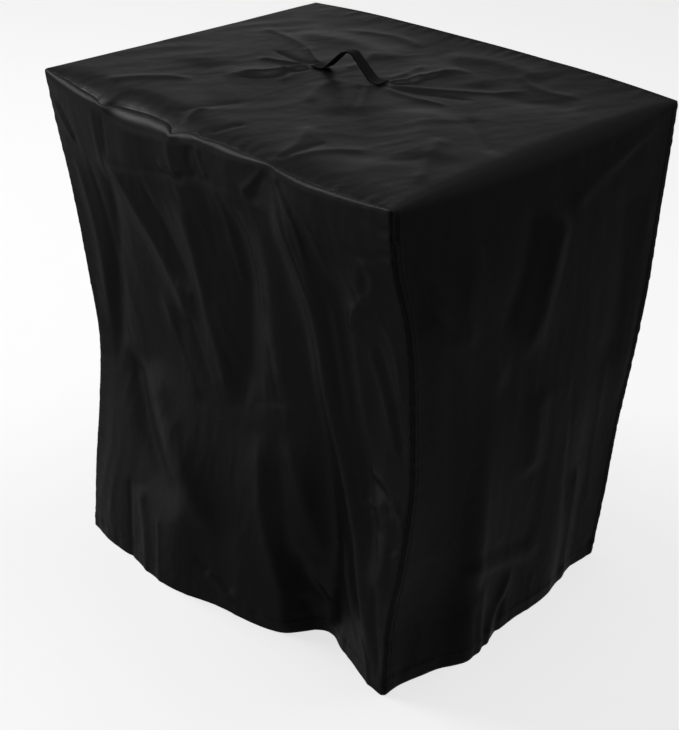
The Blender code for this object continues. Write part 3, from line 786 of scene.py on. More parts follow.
middle_of_front = side_point("front", np.full(1, 0.5), np.full(1, 0.3), curl_reach=1, curl_depth=0)
print("middle of the front:", np.round(middle_of_front[0], 3))

# %% Front and back panels
def panel_point(name, along, reach):
    """A point of the front or back panel, by its distance along the cloth from the top seam."""
    roll = read_rows(along, SAGS[name], "roll")
    turned = np.minimum(reach / roll, math.pi / 2)
    inward = roll * (1 - np.sin(turned))
    drop = roll * (1 - np.cos(turned)) + np.maximum(reach - roll * math.pi / 2, 0)
    drop += roll * (math.pi / 2 - 1) * reach / HEIGHT
    point = side_point(name, along, np.clip(drop, 0, HEIGHT), PANEL_ROUND, STRIP_ROUND)
    facing = -1 if name == "front" else 1
    point[..., 1] -= facing * inward
    return point


front_at_seam = panel_point("front", np.full(1, 0.5), np.zeros(1))
print("front panel at its seam:", np.round(front_at_seam[0], 3))

# %% The top, and the strip rolled over its left and right edges
GUTTER_DEPTH = 0.5 * MM
GUTTER_WIDTH = 3 * MM
FLAT_BESIDE_TAB = 7 * MM
STRIP_INSET = DIAGONAL * STRIP_ROUND + SEAM_GAP
PANEL_INSET = DIAGONAL * PANEL_ROUND + SEAM_GAP
FAR_EDGE = HEIGHT + LENGTH
FAR_HEM = FAR_EDGE + HEIGHT
TOP_SEED = 65
Sample = namedtuple("Sample", "shift weight")
ROLL_SAMPLES = (
    Sample(-1.00, 7),
    Sample(-0.75, 14),
    Sample(-0.50, 18),
    Sample(-0.25, 11),
    Sample(0.00, 8),
    Sample(0.25, 11),
    Sample(0.50, 18),
    Sample(0.75, 14),
    Sample(1.00, 7),
)


def clear_of_tabs(x, y):
    """0 under the sewn-down ends of the strap, rising to 1 a little way beside them."""
    from_x, from_y = x - STRAP_CENTRE[0], y - STRAP_CENTRE[1]
    along = from_x * math.cos(STRAP_TURN) + from_y * math.sin(STRAP_TURN)
    across = from_y * math.cos(STRAP_TURN) - from_x * math.sin(STRAP_TURN)
    middle = STRAP_REACH - TAB_LENGTH / 2
    off_end = np.maximum(np.abs(np.abs(along) - middle) - TAB_LENGTH / 2, 0)
    off_side = np.maximum(np.abs(across) - STRAP_WIDTH / 2, 0)
    return ease(np.hypot(off_end, off_side) / FLAT_BESIDE_TAB)


def top_point(right, back):
    """A point of the top cloth, by its shares of the way to the right and to the back."""
    level = np.zeros(right.shape)
    corner = {name: corner_point(name, level) for name in CORNERS}
    share = right[..., None]
    front = corner["front_left"] + (corner["front_right"] - corner["front_left"]) * share
    rear = corner["back_left"] + (corner["back_right"] - corner["back_left"]) * share
    front[..., 1] += read_rows(right, SAGS["front"], "roll") + SEAM_GAP
    rear[..., 1] -= read_rows(1 - right, SAGS["back"], "roll") + SEAM_GAP
    point = front + (rear - front) * back[..., None]

    from_front = back * WIDTH
    from_back = (1 - back) * WIDTH
    edges = (("front", right, from_front, -1), ("back", 1 - right, from_back, 1))
    for name, at, distance, facing in edges:
        hollow = np.clip(1 - distance / SAG_REACH_ON_TOP[name], 0, 1) ** 2
        point[..., 2] -= read_rows(at, SAGS[name], "down") * hollow
        point[..., 2] -= GUTTER_DEPTH * np.exp(-distance / GUTTER_WIDTH)
        belly = 1 - ease(distance / BELLY_REACH_ON_TOP)
        point[..., 1] += facing * read_rows(at, SAGS[name], "outward") * belly

    edge = np.minimum(np.minimum(right, 1 - right) * LENGTH, np.minimum(from_front, from_back))
    x, y = point[..., 0].copy(), point[..., 1].copy()
    along = x * math.cos(PULL_OF_TOP) + y * math.sin(PULL_OF_TOP)
    across = x * math.sin(PULL_OF_TOP) - y * math.cos(PULL_OF_TOP)
    flat = clear_of_tabs(x, y)
    point[..., 2] += relief_of("main", "top", x, y) * ease(edge / FOLDS_FADE_AT_SEAM) * flat
    fine = relief_of("fine", "top", x, y) + rumple_relief("top", across, along)
    point[..., 2] += fine * ease(edge / CREASES_FADE_AT_SEAM) * flat
    point[..., 2] += puckers(x, np.minimum(from_front, from_back), TOP_SEED)
    return point


def strip_flat_point(run, across):
    """A point of the long strip with sharp edges, by its run from the left hem and its place across."""
    on_left = run < HEIGHT
    on_right = run > FAR_EDGE
    share = across / WIDTH
    point = np.zeros(run.shape + (3,))
    sides = (("left", on_left, HEIGHT - run, 1 - share), ("right", on_right, run - FAR_EDGE, share))
    for name, where, drop, along in sides:
        drop = np.clip(drop[where], 0, HEIGHT)
        point[where] = side_point(name, along[where], drop, STRIP_ROUND, PANEL_ROUND)
    on_top = ~(on_left | on_right)
    back = (across - STRIP_INSET) / (WIDTH - 2 * STRIP_INSET)
    point[on_top] = top_point((run[on_top] - HEIGHT) / LENGTH, back[on_top])
    return point


def strip_point(run, across):
    """A point of the long strip, rolled over the left and right top edges."""
    fullness = np.sin(math.pi * across / WIDTH) ** ROLL_FULLNESS
    window = np.zeros(run.shape)
    for edge, roll in ((HEIGHT, ROLL_OF_LEFT_EDGE), (FAR_EDGE, ROLL_OF_RIGHT_EDGE)):
        reach = ROLL_AT_CORNERS + (roll - ROLL_AT_CORNERS) * fullness
        window = np.maximum(window, reach * ease(2 - np.abs(run - edge) / reach))
    point = np.zeros(run.shape + (3,))
    for sample in ROLL_SAMPLES:
        shifted = np.clip(run + sample.shift * window, 0, FAR_HEM)
        point += sample.weight * strip_flat_point(shifted, across)
    return point / sum(sample.weight for sample in ROLL_SAMPLES)


middle_of_top = strip_point(np.full(1, FAR_EDGE - LENGTH / 2), np.full(1, WIDTH / 2))
print("middle of the top:", np.round(middle_of_top[0], 4))

# %% [markdown]
# ## From places to cloth
#
# Each panel is a grid of places on the flat cloth, closer together where it curls or is doubled. The
# flat places also become the UV map, in metres, so that weave and grain follow the cloth as it hangs.
# How sharply the cloth turns is kept for each point, because coatings dull and whiten where they crease.
# A Solidify modifier gives the sheet its thickness.

# %% Grids of places
BESIDE_SEAM = np.array([0, 0.9, 2.0, 3.2, 4.6, 6.4, 8.6, 10.6, 12.4]) * MM
AFTER_SEAM = 2 * MM
ROLLED_PART = 34 * MM
HEM_PART = 26 * MM
FRONT_STEP = 2.85 * MM
ROW_STEP = 3 * MM
BACK_STEP = 4.4 * MM
Stretch = namedtuple("Stretch", "end step")


def spaced(low, high, step):
    """Even places from low to just under high, about a step apart."""
    return np.linspace(low, high, max(round((high - low) / step), 1), endpoint=False)


def along_stretches(stretches):
    """Places from 0 to the end of the last stretch, where each stretch has its own step."""
    places = []
    low = 0
    for stretch in stretches:
        places.append(spaced(low, stretch.end, stretch.step))
        low = stretch.end
    return np.concatenate(places + [[low]])


def seam_to_seam(width, inset, step):
    """Places across a panel, closer beside its two seams."""
    beside = inset + BESIDE_SEAM
    last = beside[-1] + AFTER_SEAM
    return np.concatenate([beside, spaced(last, width - last, step), [width - last], width - beside[::-1]])


def down_to_hem(length, step):
    """Places down a panel from its rolled top edge, closer at the roll and at the doubled hem."""
    return along_stretches((
        Stretch(ROLLED_PART, 1.9 * MM),
        Stretch(length - HEM_PART, step),
        Stretch(length, 2.2 * MM),
    ))


print("columns of the front:", len(seam_to_seam(LENGTH, PANEL_INSET, FRONT_STEP)))
print("rows of the front:", len(down_to_hem(HEIGHT, ROW_STEP)))

# %% Sheets
SHARPEST_TURN = 90
SHORTEST_STEP = 0.01 * MM


def crease_share(points):
    """How sharply the cloth turns at each point of its grid: 1 is the sharpest turn, in radians a metre."""
    sharpest = np.zeros(points.shape[:2])
    for axis in (0, 1):
        step = np.gradient(points, axis=axis)
        length = np.maximum(np.linalg.norm(step, axis=-1), SHORTEST_STEP)
        heading = step / length[..., None]
        turn = np.linalg.norm(np.gradient(heading, axis=axis), axis=-1) / length
        sharpest = np.maximum(sharpest, turn)
    return np.clip(sharpest / SHARPEST_TURN, 0, 1)


def cloth_piece(name, points, flat, thickness, notch=0):
    """A sheet of cloth from a grid of points, with its flat places as the UV map.

    A notch takes that many rows and columns out of both upper corners.
    """
    rows, columns = points.shape[:2]
    index = np.arange(rows * columns).reshape(rows, columns)
    quads = np.stack([index[:-1, :-1], index[1:, :-1], index[1:, 1:], index[:-1, 1:]], axis=-1)
    kept = np.ones(quads.shape[:2], bool)
    if notch:
        kept[:notch, :notch] = False
        kept[:notch, -notch:] = False
    used, quads = np.unique(quads[kept], return_inverse=True)
    quads = quads.reshape(-1, 4)
    mesh = bpy.data.meshes.new(name)
    mesh.from_pydata(points.reshape(-1, 3)[used].tolist(), [], quads.tolist())
    places = mesh.uv_layers.new(name="flat_cloth")
    places.data.foreach_set("uv", flat.reshape(-1, 2)[used][quads.ravel()].astype(np.float32).ravel())
    crease = mesh.attributes.new("crease", "FLOAT", "POINT")
    crease.data.foreach_set("value", crease_share(points).ravel()[used].astype(np.float32))
    mesh.shade_smooth()
    piece = bpy.data.objects.new(name, mesh)
    bpy.context.scene.collection.objects.link(piece)
    solid = piece.modifiers.new("Thickness", "SOLIDIFY")
    solid.thickness = thickness
    solid.offset = -1
    print(name, "has", 4 * len(quads), "triangles")
    return piece


# %% Seam allowances turned under the strip
ALLOWANCE = np.array([11.0, 6.0, 2.0]) * MM
UNDER_STRIP = CLOTH + 0.5 * MM
PROBE = 0.4 * MM


def lifted(place, first, second, lift):
    """Points moved off a surface along its normal. The surface is a function of two distances."""
    here = place(first, second)
    along_first = place(first + PROBE, second) - here
    along_second = place(first, second + PROBE) - here
    normal = np.cross(along_first, along_second)
    normal /= np.linalg.norm(normal, axis=-1, keepdims=True)
    return here + normal * lift


def under_strip(name, run, from_edge):
    """Points of a panel's allowance, which is felled under the strip beside the panel's seam."""
    across = STRIP_INSET + from_edge
    if name == "back":
        across = WIDTH - across
    run, across = np.meshgrid(np.minimum(run, FAR_HEM - PROBE), across, indexing="ij")
    return lifted(strip_point, run, across, -UNDER_STRIP)


# %% Front and back panels
def make_panel(name, column_step, row_step):
    """The front or back panel as a thin sheet, with its allowances turned under the strip."""
    columns = seam_to_seam(LENGTH, PANEL_INSET, column_step)
    rows = down_to_hem(HEIGHT, row_step)
    reach, across = np.meshgrid(rows, columns, indexing="ij")
    points = panel_point(name, across / LENGTH, reach)

    low_run = HEIGHT - rows
    high_run = FAR_EDGE + rows
    top_run = HEIGHT + columns
    if name == "back":
        low_run, high_run, top_run = high_run, low_run, FAR_EDGE - columns
    start = under_strip(name, low_run, ALLOWANCE)
    end = under_strip(name, high_run, ALLOWANCE[::-1])
    over = under_strip(name, top_run, ALLOWANCE).transpose(1, 0, 2)
    points = np.concatenate([
        np.pad(over, ((0, 0), (len(ALLOWANCE), len(ALLOWANCE)), (0, 0)), mode="edge"),
        np.concatenate([start, points, end], axis=1),
    ])
    wide = np.concatenate([PANEL_INSET - ALLOWANCE, columns, LENGTH - PANEL_INSET + ALLOWANCE[::-1]])
    tall = np.concatenate([-ALLOWANCE, rows])
    reach, across = np.meshgrid(tall, wide, indexing="ij")
    flat = np.stack([across, reach], axis=-1)
    return cloth_piece(name + "_cloth", points, flat, CLOTH, notch=len(ALLOWANCE))


front_cloth = make_panel("front", FRONT_STEP, ROW_STEP)
back_cloth = make_panel("back", BACK_STEP, BACK_STEP)

# %% The long strip
FINE_BESIDE_STRAP = 60 * MM
STEP_BESIDE_STRAP = 3.2 * MM
STEP_ACROSS = 4.8 * MM


def strip_runs():
    """Distances from the left hem: coarse on the left side, and closer on the top and its rolls."""
    left_roll = 2 * ROLL_OF_LEFT_EDGE
    right_roll = 2 * ROLL_OF_RIGHT_EDGE
    return along_stretches((
        Stretch(HEM_PART, 3 * MM),
        Stretch(HEIGHT - left_roll, 8 * MM),
        Stretch(HEIGHT + left_roll, 2.4 * MM),
        Stretch(FAR_EDGE - right_roll, 3.5 * MM),
        Stretch(FAR_EDGE + right_roll, 3.2 * MM),
        Stretch(FAR_HEM - HEM_PART, 5.3 * MM),
        Stretch(FAR_HEM, 2.6 * MM),
    ))


def strip_columns():
    """Places across the strip, closer beside its seams and where the strap is sewn on."""
    near = STRIP_INSET + BESIDE_SEAM
    near = np.append(near, near[-1] + AFTER_SEAM)
    far = WIDTH - near[::-1]
    middle = WIDTH / 2 + STRAP_CENTRE[1]
    low, high = middle - FINE_BESIDE_STRAP, middle + FINE_BESIDE_STRAP
    return np.concatenate([
        near,
        spaced(near[-1] + 2 * AFTER_SEAM, low, STEP_ACROSS),
        spaced(low, high, STEP_BESIDE_STRAP),
        spaced(high, far[0], STEP_ACROSS),
        far,
    ])


def make_strip():
    """The strip that makes the left side, the top and the right side."""
    run, across = np.meshgrid(strip_runs(), strip_columns(), indexing="ij")
    flat = np.stack([across, run], axis=-1)
    return cloth_piece("top_and_sides_cloth", strip_point(run, across), flat, CLOTH)


strip_cloth = make_strip()

# %% [markdown]
# ## The carrying strap
#
# The strap is a length of flat webbing whose two ends are sewn down, so that it stands up in a tent
# between them. Its side view is a bent line with rounded corners. It narrows a little where a hand has
# pulled it. A grid follows the line, Solidify gives the webbing's thickness and a Bevel rounds its edges.

# %% Line of the carrying strap
STRAP_WAIST = 16 * MM
STRAP_THICKNESS = 2 * MM
STRAP_LIFT = 0.6 * MM
STRAP_BEND = 6 * MM
Bend = namedtuple("Bend", "along height")
STRAP_LINE = (
    Bend(-STRAP_REACH, 0),
    Bend(-34 * MM, 0),
    Bend(-8 * MM, 26.5 * MM),
    Bend(5 * MM, 29 * MM),
    Bend(36 * MM, 0),
    Bend(STRAP_REACH, 0),
)
STRAP_SAMPLES = 400
BEND_SAMPLES = 9


def rounded_line(corners, bend, count):
    """Points along a bent line whose inner corners are rounded, evenly spaced, and its length."""
    corners = [np.array(c, float) for c in corners]
    points = [corners[0]]
    for before, here, after in zip(corners[:-2], corners[1:-1], corners[2:]):
        to_before = (before - here) / np.linalg.norm(before - here)
        to_after = (after - here) / np.linalg.norm(after - here)
        for t in np.linspace(0, 1, BEND_SAMPLES):
            points.append(here + to_before * bend * (1 - t) ** 2 + to_after * bend * t**2)
    points = np.array(points + [corners[-1]])
    reached = np.concatenate([[0], np.cumsum(np.linalg.norm(np.diff(points, axis=0), axis=1))])
    even = np.linspace(0, reached[-1], count)
    return np.stack([np.interp(even, reached, points[:, axis]) for axis in (0, 1)], axis=1), reached[-1]


strap_profile, strap_length = rounded_line(STRAP_LINE, STRAP_BEND, STRAP_SAMPLES)
print("webbing in the strap:", round(strap_length / MM, 1), "mm")

# %% Webbing along that line
WEBBING_CUP = 0.5 * MM
WEBBING_EDGE = 0.5 * MM
ROWS_ALONG_STRAP = 97
ROWS_ACROSS_STRAP = 13


def strap_point(along, across):
    """A point of the strap's upper face, by its distance along the webbing and its share across."""
    share = along / strap_length
    places = np.linspace(0, 1, STRAP_SAMPLES)
    distance = np.interp(share, places, strap_profile[:, 0])
    height = np.interp(share, places, strap_profile[:, 1])
    width = STRAP_WAIST + (STRAP_WIDTH - STRAP_WAIST) * np.abs(2 * share - 1) ** 2
    side = (across - 0.5) * width
    cup = WEBBING_CUP * (2 * across - 1) ** 2 * np.sin(math.pi * share)
    x = STRAP_CENTRE[0] + distance * math.cos(STRAP_TURN) - side * math.sin(STRAP_TURN)
    y = STRAP_CENTRE[1] + distance * math.sin(STRAP_TURN) + side * math.cos(STRAP_TURN)
    return np.stack([x, y, TOP_LEVEL + STRAP_LIFT + height - cup + STRAP_THICKNESS], axis=-1)


def make_strap():
    """The strap as a piece of webbing with rounded edges."""
    lengthwise = np.linspace(0, strap_length, ROWS_ALONG_STRAP)
    along, across = np.meshgrid(lengthwise, np.linspace(0, 1, ROWS_ACROSS_STRAP), indexing="ij")
    flat = np.stack([(across - 0.5) * STRAP_WIDTH, along], axis=-1)
    piece = cloth_piece("strap_webbing", strap_point(along, across), flat, STRAP_THICKNESS)
    rounded = piece.modifiers.new("Rounded edges", "BEVEL")
    rounded.width = WEBBING_EDGE
    rounded.segments = 2
    rounded.limit_method = "ANGLE"
    rounded.angle_limit = math.radians(60)
    return piece


strap_webbing = make_strap()

# %% [markdown]
# ## Finishes
#
# One small function adds a node with its settings and links, and one turns an sRGB hex value to the
# linear colour that a shader takes. The patterns of cloth and webbing are measured on the flat piece, in
# metres, so a size in millimetres becomes a scale by dividing one by it.

# %% Helpers for materials
def add_node(tree, kind, inputs=None, **settings):
    """Add one node. An input is a value, or a socket to link; a setting is the node's own option."""
    made = tree.nodes.new(kind)
    for key, value in settings.items():
        setattr(made, key, value)
    for key, value in (inputs or {}).items():
        if isinstance(value, bpy.types.NodeSocket):
            tree.links.new(value, made.inputs[key])
        else:
            made.inputs[key].default_value = value
    return made


def linear(hex_colour):
    """The linear colour of an sRGB hex value."""
    parts = [int(hex_colour[i : i + 2], 16) / 255 for i in (1, 3, 5)]
    return (*(p / 12.92 if p <= 0.04045 else ((p + 0.055) / 1.055) ** 2.4 for p in parts), 1.0)


def new_material(name):
    """An empty node material with a Principled shader, and its tree and shader."""
    made = bpy.data.materials.new(name)
    made.use_nodes = True
    made.node_tree.nodes.clear()
    shader = add_node(made.node_tree, "ShaderNodeBsdfPrincipled")
    add_node(made.node_tree, "ShaderNodeOutputMaterial", {"Surface": shader.outputs["BSDF"]})
    return made, made.node_tree, shader


def sine_across(tree, place, axis, pitch):
    """A wave across the flat cloth along one axis, from -1 to 1, that repeats at a pitch in metres."""
    split = add_node(tree, "ShaderNodeSeparateXYZ", {"Vector": place}).outputs[axis]
    turned = add_node(tree, "ShaderNodeMath", {0: split, 1: 2 * math.pi / pitch}, operation="MULTIPLY")
    return add_node(tree, "ShaderNodeMath", {0: turned.outputs[0]}, operation="SINE").outputs[0]


def colour_from_mix(tree, mix, shader):
    """Give a shader the colour that a colour mix puts out."""
    colours = [socket for socket in mix.outputs if socket.type == "RGBA"]
    tree.links.new(colours[0], shader.inputs["Base Color"])


def bump_in_layers(tree, shader, layers):
    """Raise a shader's surface by several heights, one after another, each with its depth in metres."""
    normal = None
    for height, depth in layers:
        inputs = {"Height": height, "Distance": depth, "Strength": 1.0}
        if normal is not None:
            inputs["Normal"] = normal
        normal = add_node(tree, "ShaderNodeBump", inputs).outputs["Normal"]
    tree.links.new(normal, shader.inputs["Normal"])


print("near black in linear light:", [round(x, 4) for x in linear("#161618")])

# %% [markdown]
# ### Coated polyester
#
# The cloth is a plain weave of black polyester yarn with a thin polyurethane coating. The coating fills
# the weave and gives a soft, broad shine. It is a dielectric, so its index is about 1.5, and its
# roughness sits between satin and matt. The yarns are 0.45 mm apart, too fine to show in the render, so
# the weave is drawn at four times that and very shallow. Crumpling leaves shallow facets, 5 to 16 mm
# wide. Where the cloth has creased, the coating is duller and a little greyer.

# %% Coated polyester
WEAVE_PITCH = 1.8 * MM
WEAVE_DEPTH = 0.012 * MM
FACET_SIZE = 16 * MM
FACET_DEPTH = 0.40 * MM
FINE_FACET_SIZE = 5 * MM
FINE_FACET_DEPTH = 0.08 * MM
MOTTLE_SIZE = 70 * MM
WEAR_OF_CREASE = 0.55
COATING_ROUGHNESS = {"From Min": 0.25, "From Max": 1.1, "To Min": 0.34, "To Max": 0.50}


def make_coated_polyester():
    """Black coated cloth: a faint weave, fine facets, and a shine that varies with wear."""
    finish, tree, shader = new_material("coated_polyester_cloth")
    place = add_node(tree, "ShaderNodeUVMap", uv_map="flat_cloth").outputs["UV"]
    crease = add_node(tree, "ShaderNodeAttribute", attribute_name="crease").outputs["Fac"]

    mottled = {"Vector": place, "Scale": 1 / MOTTLE_SIZE, "Detail": 5, "Roughness": 0.62}
    mottle = add_node(tree, "ShaderNodeTexNoise", mottled).outputs["Fac"]
    wear = {0: crease, 1: WEAR_OF_CREASE, 2: mottle}
    worn = add_node(tree, "ShaderNodeMath", wear, operation="MULTIPLY_ADD").outputs[0]
    blacks = {"Factor": worn, "A": linear("#121214"), "B": linear("#1e1e21")}
    colour_from_mix(tree, add_node(tree, "ShaderNodeMix", blacks, data_type="RGBA"), shader)
    dull = add_node(tree, "ShaderNodeMapRange", {"Value": worn, **COATING_ROUGHNESS})
    tree.links.new(dull.outputs["Result"], shader.inputs["Roughness"])
    shader.inputs["IOR"].default_value = 1.5
    shader.inputs["Metallic"].default_value = 0.0

    weft = sine_across(tree, place, 0, WEAVE_PITCH)
    warp = sine_across(tree, place, 1, WEAVE_PITCH)
    weave = add_node(tree, "ShaderNodeMath", {0: weft, 1: warp}, operation="MULTIPLY").outputs[0]
    broad = {"Vector": place, "Scale": 1 / FACET_SIZE, "Detail": 3, "Roughness": 0.5}
    small = {"Vector": place, "Scale": 1 / FINE_FACET_SIZE, "Detail": 2, "Roughness": 0.5}
    facets = add_node(tree, "ShaderNodeTexNoise", broad).outputs["Fac"]
    fine_facets = add_node(tree, "ShaderNodeTexNoise", small).outputs["Fac"]
    layers = ((facets, FACET_DEPTH), (fine_facets, FINE_FACET_DEPTH), (weave, WEAVE_DEPTH))
    bump_in_layers(tree, shader, layers)
    return finish


coated_polyester = make_coated_polyester()
for piece in (front_cloth, back_cloth, strip_cloth):
    piece.data.materials.append(coated_polyester)
print("finish:", coated_polyester.name, "with", len(coated_polyester.node_tree.nodes), "nodes")

# %% [markdown]
# ### Webbing and thread
#
# The strap is woven polypropylene webbing: thick warp yarns run along it, 1.3 mm apart, and the weft
# crosses them. So fine a rib melts away at this distance, so it is drawn twice as coarse. Webbing is
# matt, because its yarns scatter light. The seams are sewn with twisted polyester thread, which is
# smoother than the webbing and catches a thin line of light.

# %% Webbing and thread
WARP_PITCH = 2.6 * MM
WEFT_PITCH = 3.0 * MM
WEFT_SHARE = 0.5
RIB_DEPTH = 0.22 * MM
FUZZ_DEPTH = 0.10 * MM
YARN_LENGTH = 3 * MM
FIBRE_SIZE = 0.6 * MM


def make_webbing():
    """Matt black webbing with ribs along it, crossed by a shallower weft."""
    finish, tree, shader = new_material("woven_polypropylene_webbing")
    place = add_node(tree, "ShaderNodeUVMap", uv_map="flat_cloth").outputs["UV"]
    ribs = sine_across(tree, place, 0, WARP_PITCH)
    crossings = sine_across(tree, place, 1, WEFT_PITCH)
    crossed = {0: crossings, 1: WEFT_SHARE, 2: ribs}
    weave = add_node(tree, "ShaderNodeMath", crossed, operation="MULTIPLY_ADD").outputs[0]
    fuzzy = {"Vector": place, "Scale": 1 / YARN_LENGTH, "Detail": 4}
    fuzz = add_node(tree, "ShaderNodeTexNoise", fuzzy).outputs["Fac"]
    blacks = {"Factor": fuzz, "A": linear("#0a0a0b"), "B": linear("#151517")}
    colour_from_mix(tree, add_node(tree, "ShaderNodeMix", blacks, data_type="RGBA"), shader)
    shader.inputs["Roughness"].default_value = 0.68
    shader.inputs["IOR"].default_value = 1.49
    bump_in_layers(tree, shader, ((weave, RIB_DEPTH), (fuzz, FUZZ_DEPTH)))
    return finish


def make_thread():
    """Black twisted polyester thread."""
    finish, tree, shader = new_material("twisted_polyester_thread")
    place = add_node(tree, "ShaderNodeTexCoord").outputs["Object"]
    fibrous = {"Vector": place, "Scale": 1 / FIBRE_SIZE, "Detail": 2}
    fibres = add_node(tree, "ShaderNodeTexNoise", fibrous).outputs["Fac"]
    blacks = {"Factor": fibres, "A": linear("#242427"), "B": linear("#38383c")}
    colour_from_mix(tree, add_node(tree, "ShaderNodeMix", blacks, data_type="RGBA"), shader)
    shader.inputs["Roughness"].default_value = 0.45
    shader.inputs["IOR"].default_value = 1.55
    return finish


webbing = make_webbing()
thread = make_thread()
strap_webbing.data.materials.append(webbing)
print("finishes:", webbing.name, "and", thread.name)

# %% [markdown]
# ## Stitches
#
# A row of stitches repeats one small shape along a path on the cloth, which is a job for Geometry
# Nodes: the tree resamples the path at the stitch pitch, sets a small rounded thread on each point,
# turns it along the path and gives it its material. The path is read from the cloth's own surface, so
# the stitches lie on every fold. Each result is turned to a plain mesh.

# %% Paths on the cloth
SAMPLES_PER_METRE = 420
THREAD_THICKNESS = 0.55 * MM
THREAD_LIFT = 0.3 * THREAD_THICKNESS
Row = namedtuple("Row", "start end")


def laid_on(place, rows):
    """Paths that lie on a surface. The surface is a function of two distances, and so are a row's ends."""
    lines = []
    for row in rows:
        start, end = np.array(row.start), np.array(row.end)
        count = max(int(np.linalg.norm(end - start) * SAMPLES_PER_METRE), 2)
        lines.append(start + (end - start) * np.linspace(0, 1, count)[:, None])
    first, second = np.concatenate(lines).T
    laid = lifted(place, first, second, THREAD_LIFT)
    return np.split(laid, np.cumsum([len(line) for line in lines])[:-1])


def front_place(reach, across):
    """A point of the front panel by distances down and across it."""
    return panel_point("front", across / LENGTH, reach)


def back_place(reach, across):
    """A point of the back panel by distances down and across it."""
    return panel_point("back", across / LENGTH, reach)


print("samples along a hem row:", int(LENGTH * SAMPLES_PER_METRE))

# %% A tree that sews a row of stitches
STITCH_PITCH = 3.6 * MM
STITCH_LENGTH = 3.0 * MM


def make_stitch_tree():
    """Geometry nodes that set a stitch at each pitch along every path."""
    tree = bpy.data.node_groups.new("Row of stitches", "GeometryNodeTree")
    face = tree.interface
    face.new_socket("Paths", in_out="INPUT", socket_type="NodeSocketGeometry")
    sizes = {"Pitch": STITCH_PITCH, "Stitch length": STITCH_LENGTH, "Thickness": THREAD_THICKNESS}
    for name, size in sizes.items():
        face.new_socket(name, in_out="INPUT", socket_type="NodeSocketFloat").default_value = size
    face.new_socket("Thread", in_out="INPUT", socket_type="NodeSocketMaterial")
    face.new_socket("Stitches", in_out="OUTPUT", socket_type="NodeSocketGeometry")
    given = add_node(tree, "NodeGroupInput").outputs
    paths = add_node(tree, "GeometryNodeMeshToCurve", {"Mesh": given["Paths"]}).outputs["Curve"]
    at_pitch = {"Curve": paths, "Length": given["Pitch"]}
    spots = add_node(tree, "GeometryNodeResampleCurve", at_pitch, mode="LENGTH").outputs["Curve"]
    heading = {"Vector": add_node(tree, "GeometryNodeInputTangent").outputs["Tangent"]}
    turned = add_node(tree, "FunctionNodeAlignEulerToVector", heading, axis="X").outputs["Rotation"]
    sides = {"X": given["Stitch length"], "Y": given["Thickness"], "Z": given["Thickness"]}
    size = add_node(tree, "ShaderNodeCombineXYZ", sides).outputs["Vector"]
    round_bead = {"Segments": 6, "Rings": 4, "Radius": 0.5}
    bead = add_node(tree, "GeometryNodeMeshUVSphere", round_bead).outputs["Mesh"]
    placed = {"Points": spots, "Instance": bead, "Rotation": turned, "Scale": size}
    sewn = add_node(tree, "GeometryNodeInstanceOnPoints", placed).outputs["Instances"]
    real = add_node(tree, "GeometryNodeRealizeInstances", {"Geometry": sewn}).outputs["Geometry"]
    smooth = add_node(tree, "GeometryNodeSetShadeSmooth", {"Geometry": real}).outputs["Geometry"]
    painted = add_node(tree, "GeometryNodeSetMaterial", {"Geometry": smooth, "Material": given["Thread"]})
    add_node(tree, "NodeGroupOutput", {"Stitches": painted.outputs["Geometry"]})
    return tree


stitch_tree = make_stitch_tree()
print("nodes in the stitch tree:", len(stitch_tree.nodes))

# %% Sew rows along paths
def sew(name, paths, pitch=STITCH_PITCH, stitch=STITCH_LENGTH):
    """One piece with a row of stitches along each path."""
    points = np.concatenate(paths)
    edges = []
    first = 0
    for path in paths:
        edges += [(first + i, first + i + 1) for i in range(len(path) - 1)]
        first += len(path)
    lines = bpy.data.meshes.new(name + "_paths")
    lines.from_pydata(points.tolist(), edges, [])
    guide = bpy.data.objects.new(name + "_guide", lines)
    bpy.context.scene.collection.objects.link(guide)
    sewing = guide.modifiers.new("Stitches", "NODES")
    sewing.node_group = stitch_tree
    sockets = {s.name: s.identifier for s in stitch_tree.interface.items_tree if s.in_out == "INPUT"}
    sewing[sockets["Pitch"]] = pitch
    sewing[sockets["Stitch length"]] = stitch
    sewing[sockets["Thread"]] = thread
    shaped = guide.evaluated_get(bpy.context.evaluated_depsgraph_get())
    mesh = bpy.data.meshes.new_from_object(shaped)
    mesh.name = name
    guide.modifiers.clear()
    bpy.data.objects.remove(guide)
    piece = bpy.data.objects.new(name, mesh)
    bpy.context.scene.collection.objects.link(piece)
    print(name, "has", len(mesh.polygons), "faces")
    return piece


# %% Hem, seam and top edge stitches
FELL_ROWS = (5 * MM, 11.5 * MM)
TOP_ROW = STRIP_INSET + 3.5 * MM
SHORT_OF_HEM = 2 * MM
SHORT_OF_ROLL = 12 * MM

panel_hem = [Row((HEIGHT - HEM_ROW, PANEL_INSET), (HEIGHT - HEM_ROW, LENGTH - PANEL_INSET))]
hem_rows = [Row((run, STRIP_INSET), (run, WIDTH - STRIP_INSET)) for run in (HEM_ROW, FAR_HEM - HEM_ROW)]
left_fell = (SHORT_OF_HEM, HEIGHT - SHORT_OF_ROLL)
right_fell = (FAR_EDGE + SHORT_OF_ROLL, FAR_HEM - SHORT_OF_HEM)
fell_rows = [
    Row((low, across), (high, across))
    for low, high in (left_fell, right_fell)
    for distance in FELL_ROWS
    for across in (distance, WIDTH - distance)
]
top_rows = [
    Row((HEIGHT + SHORT_OF_ROLL, across), (FAR_EDGE - SHORT_OF_ROLL, across))
    for across in (TOP_ROW, WIDTH - TOP_ROW)
]
strip_paths = laid_on(strip_point, hem_rows + fell_rows + top_rows)
panel_paths = laid_on(front_place, panel_hem) + laid_on(back_place, panel_hem)
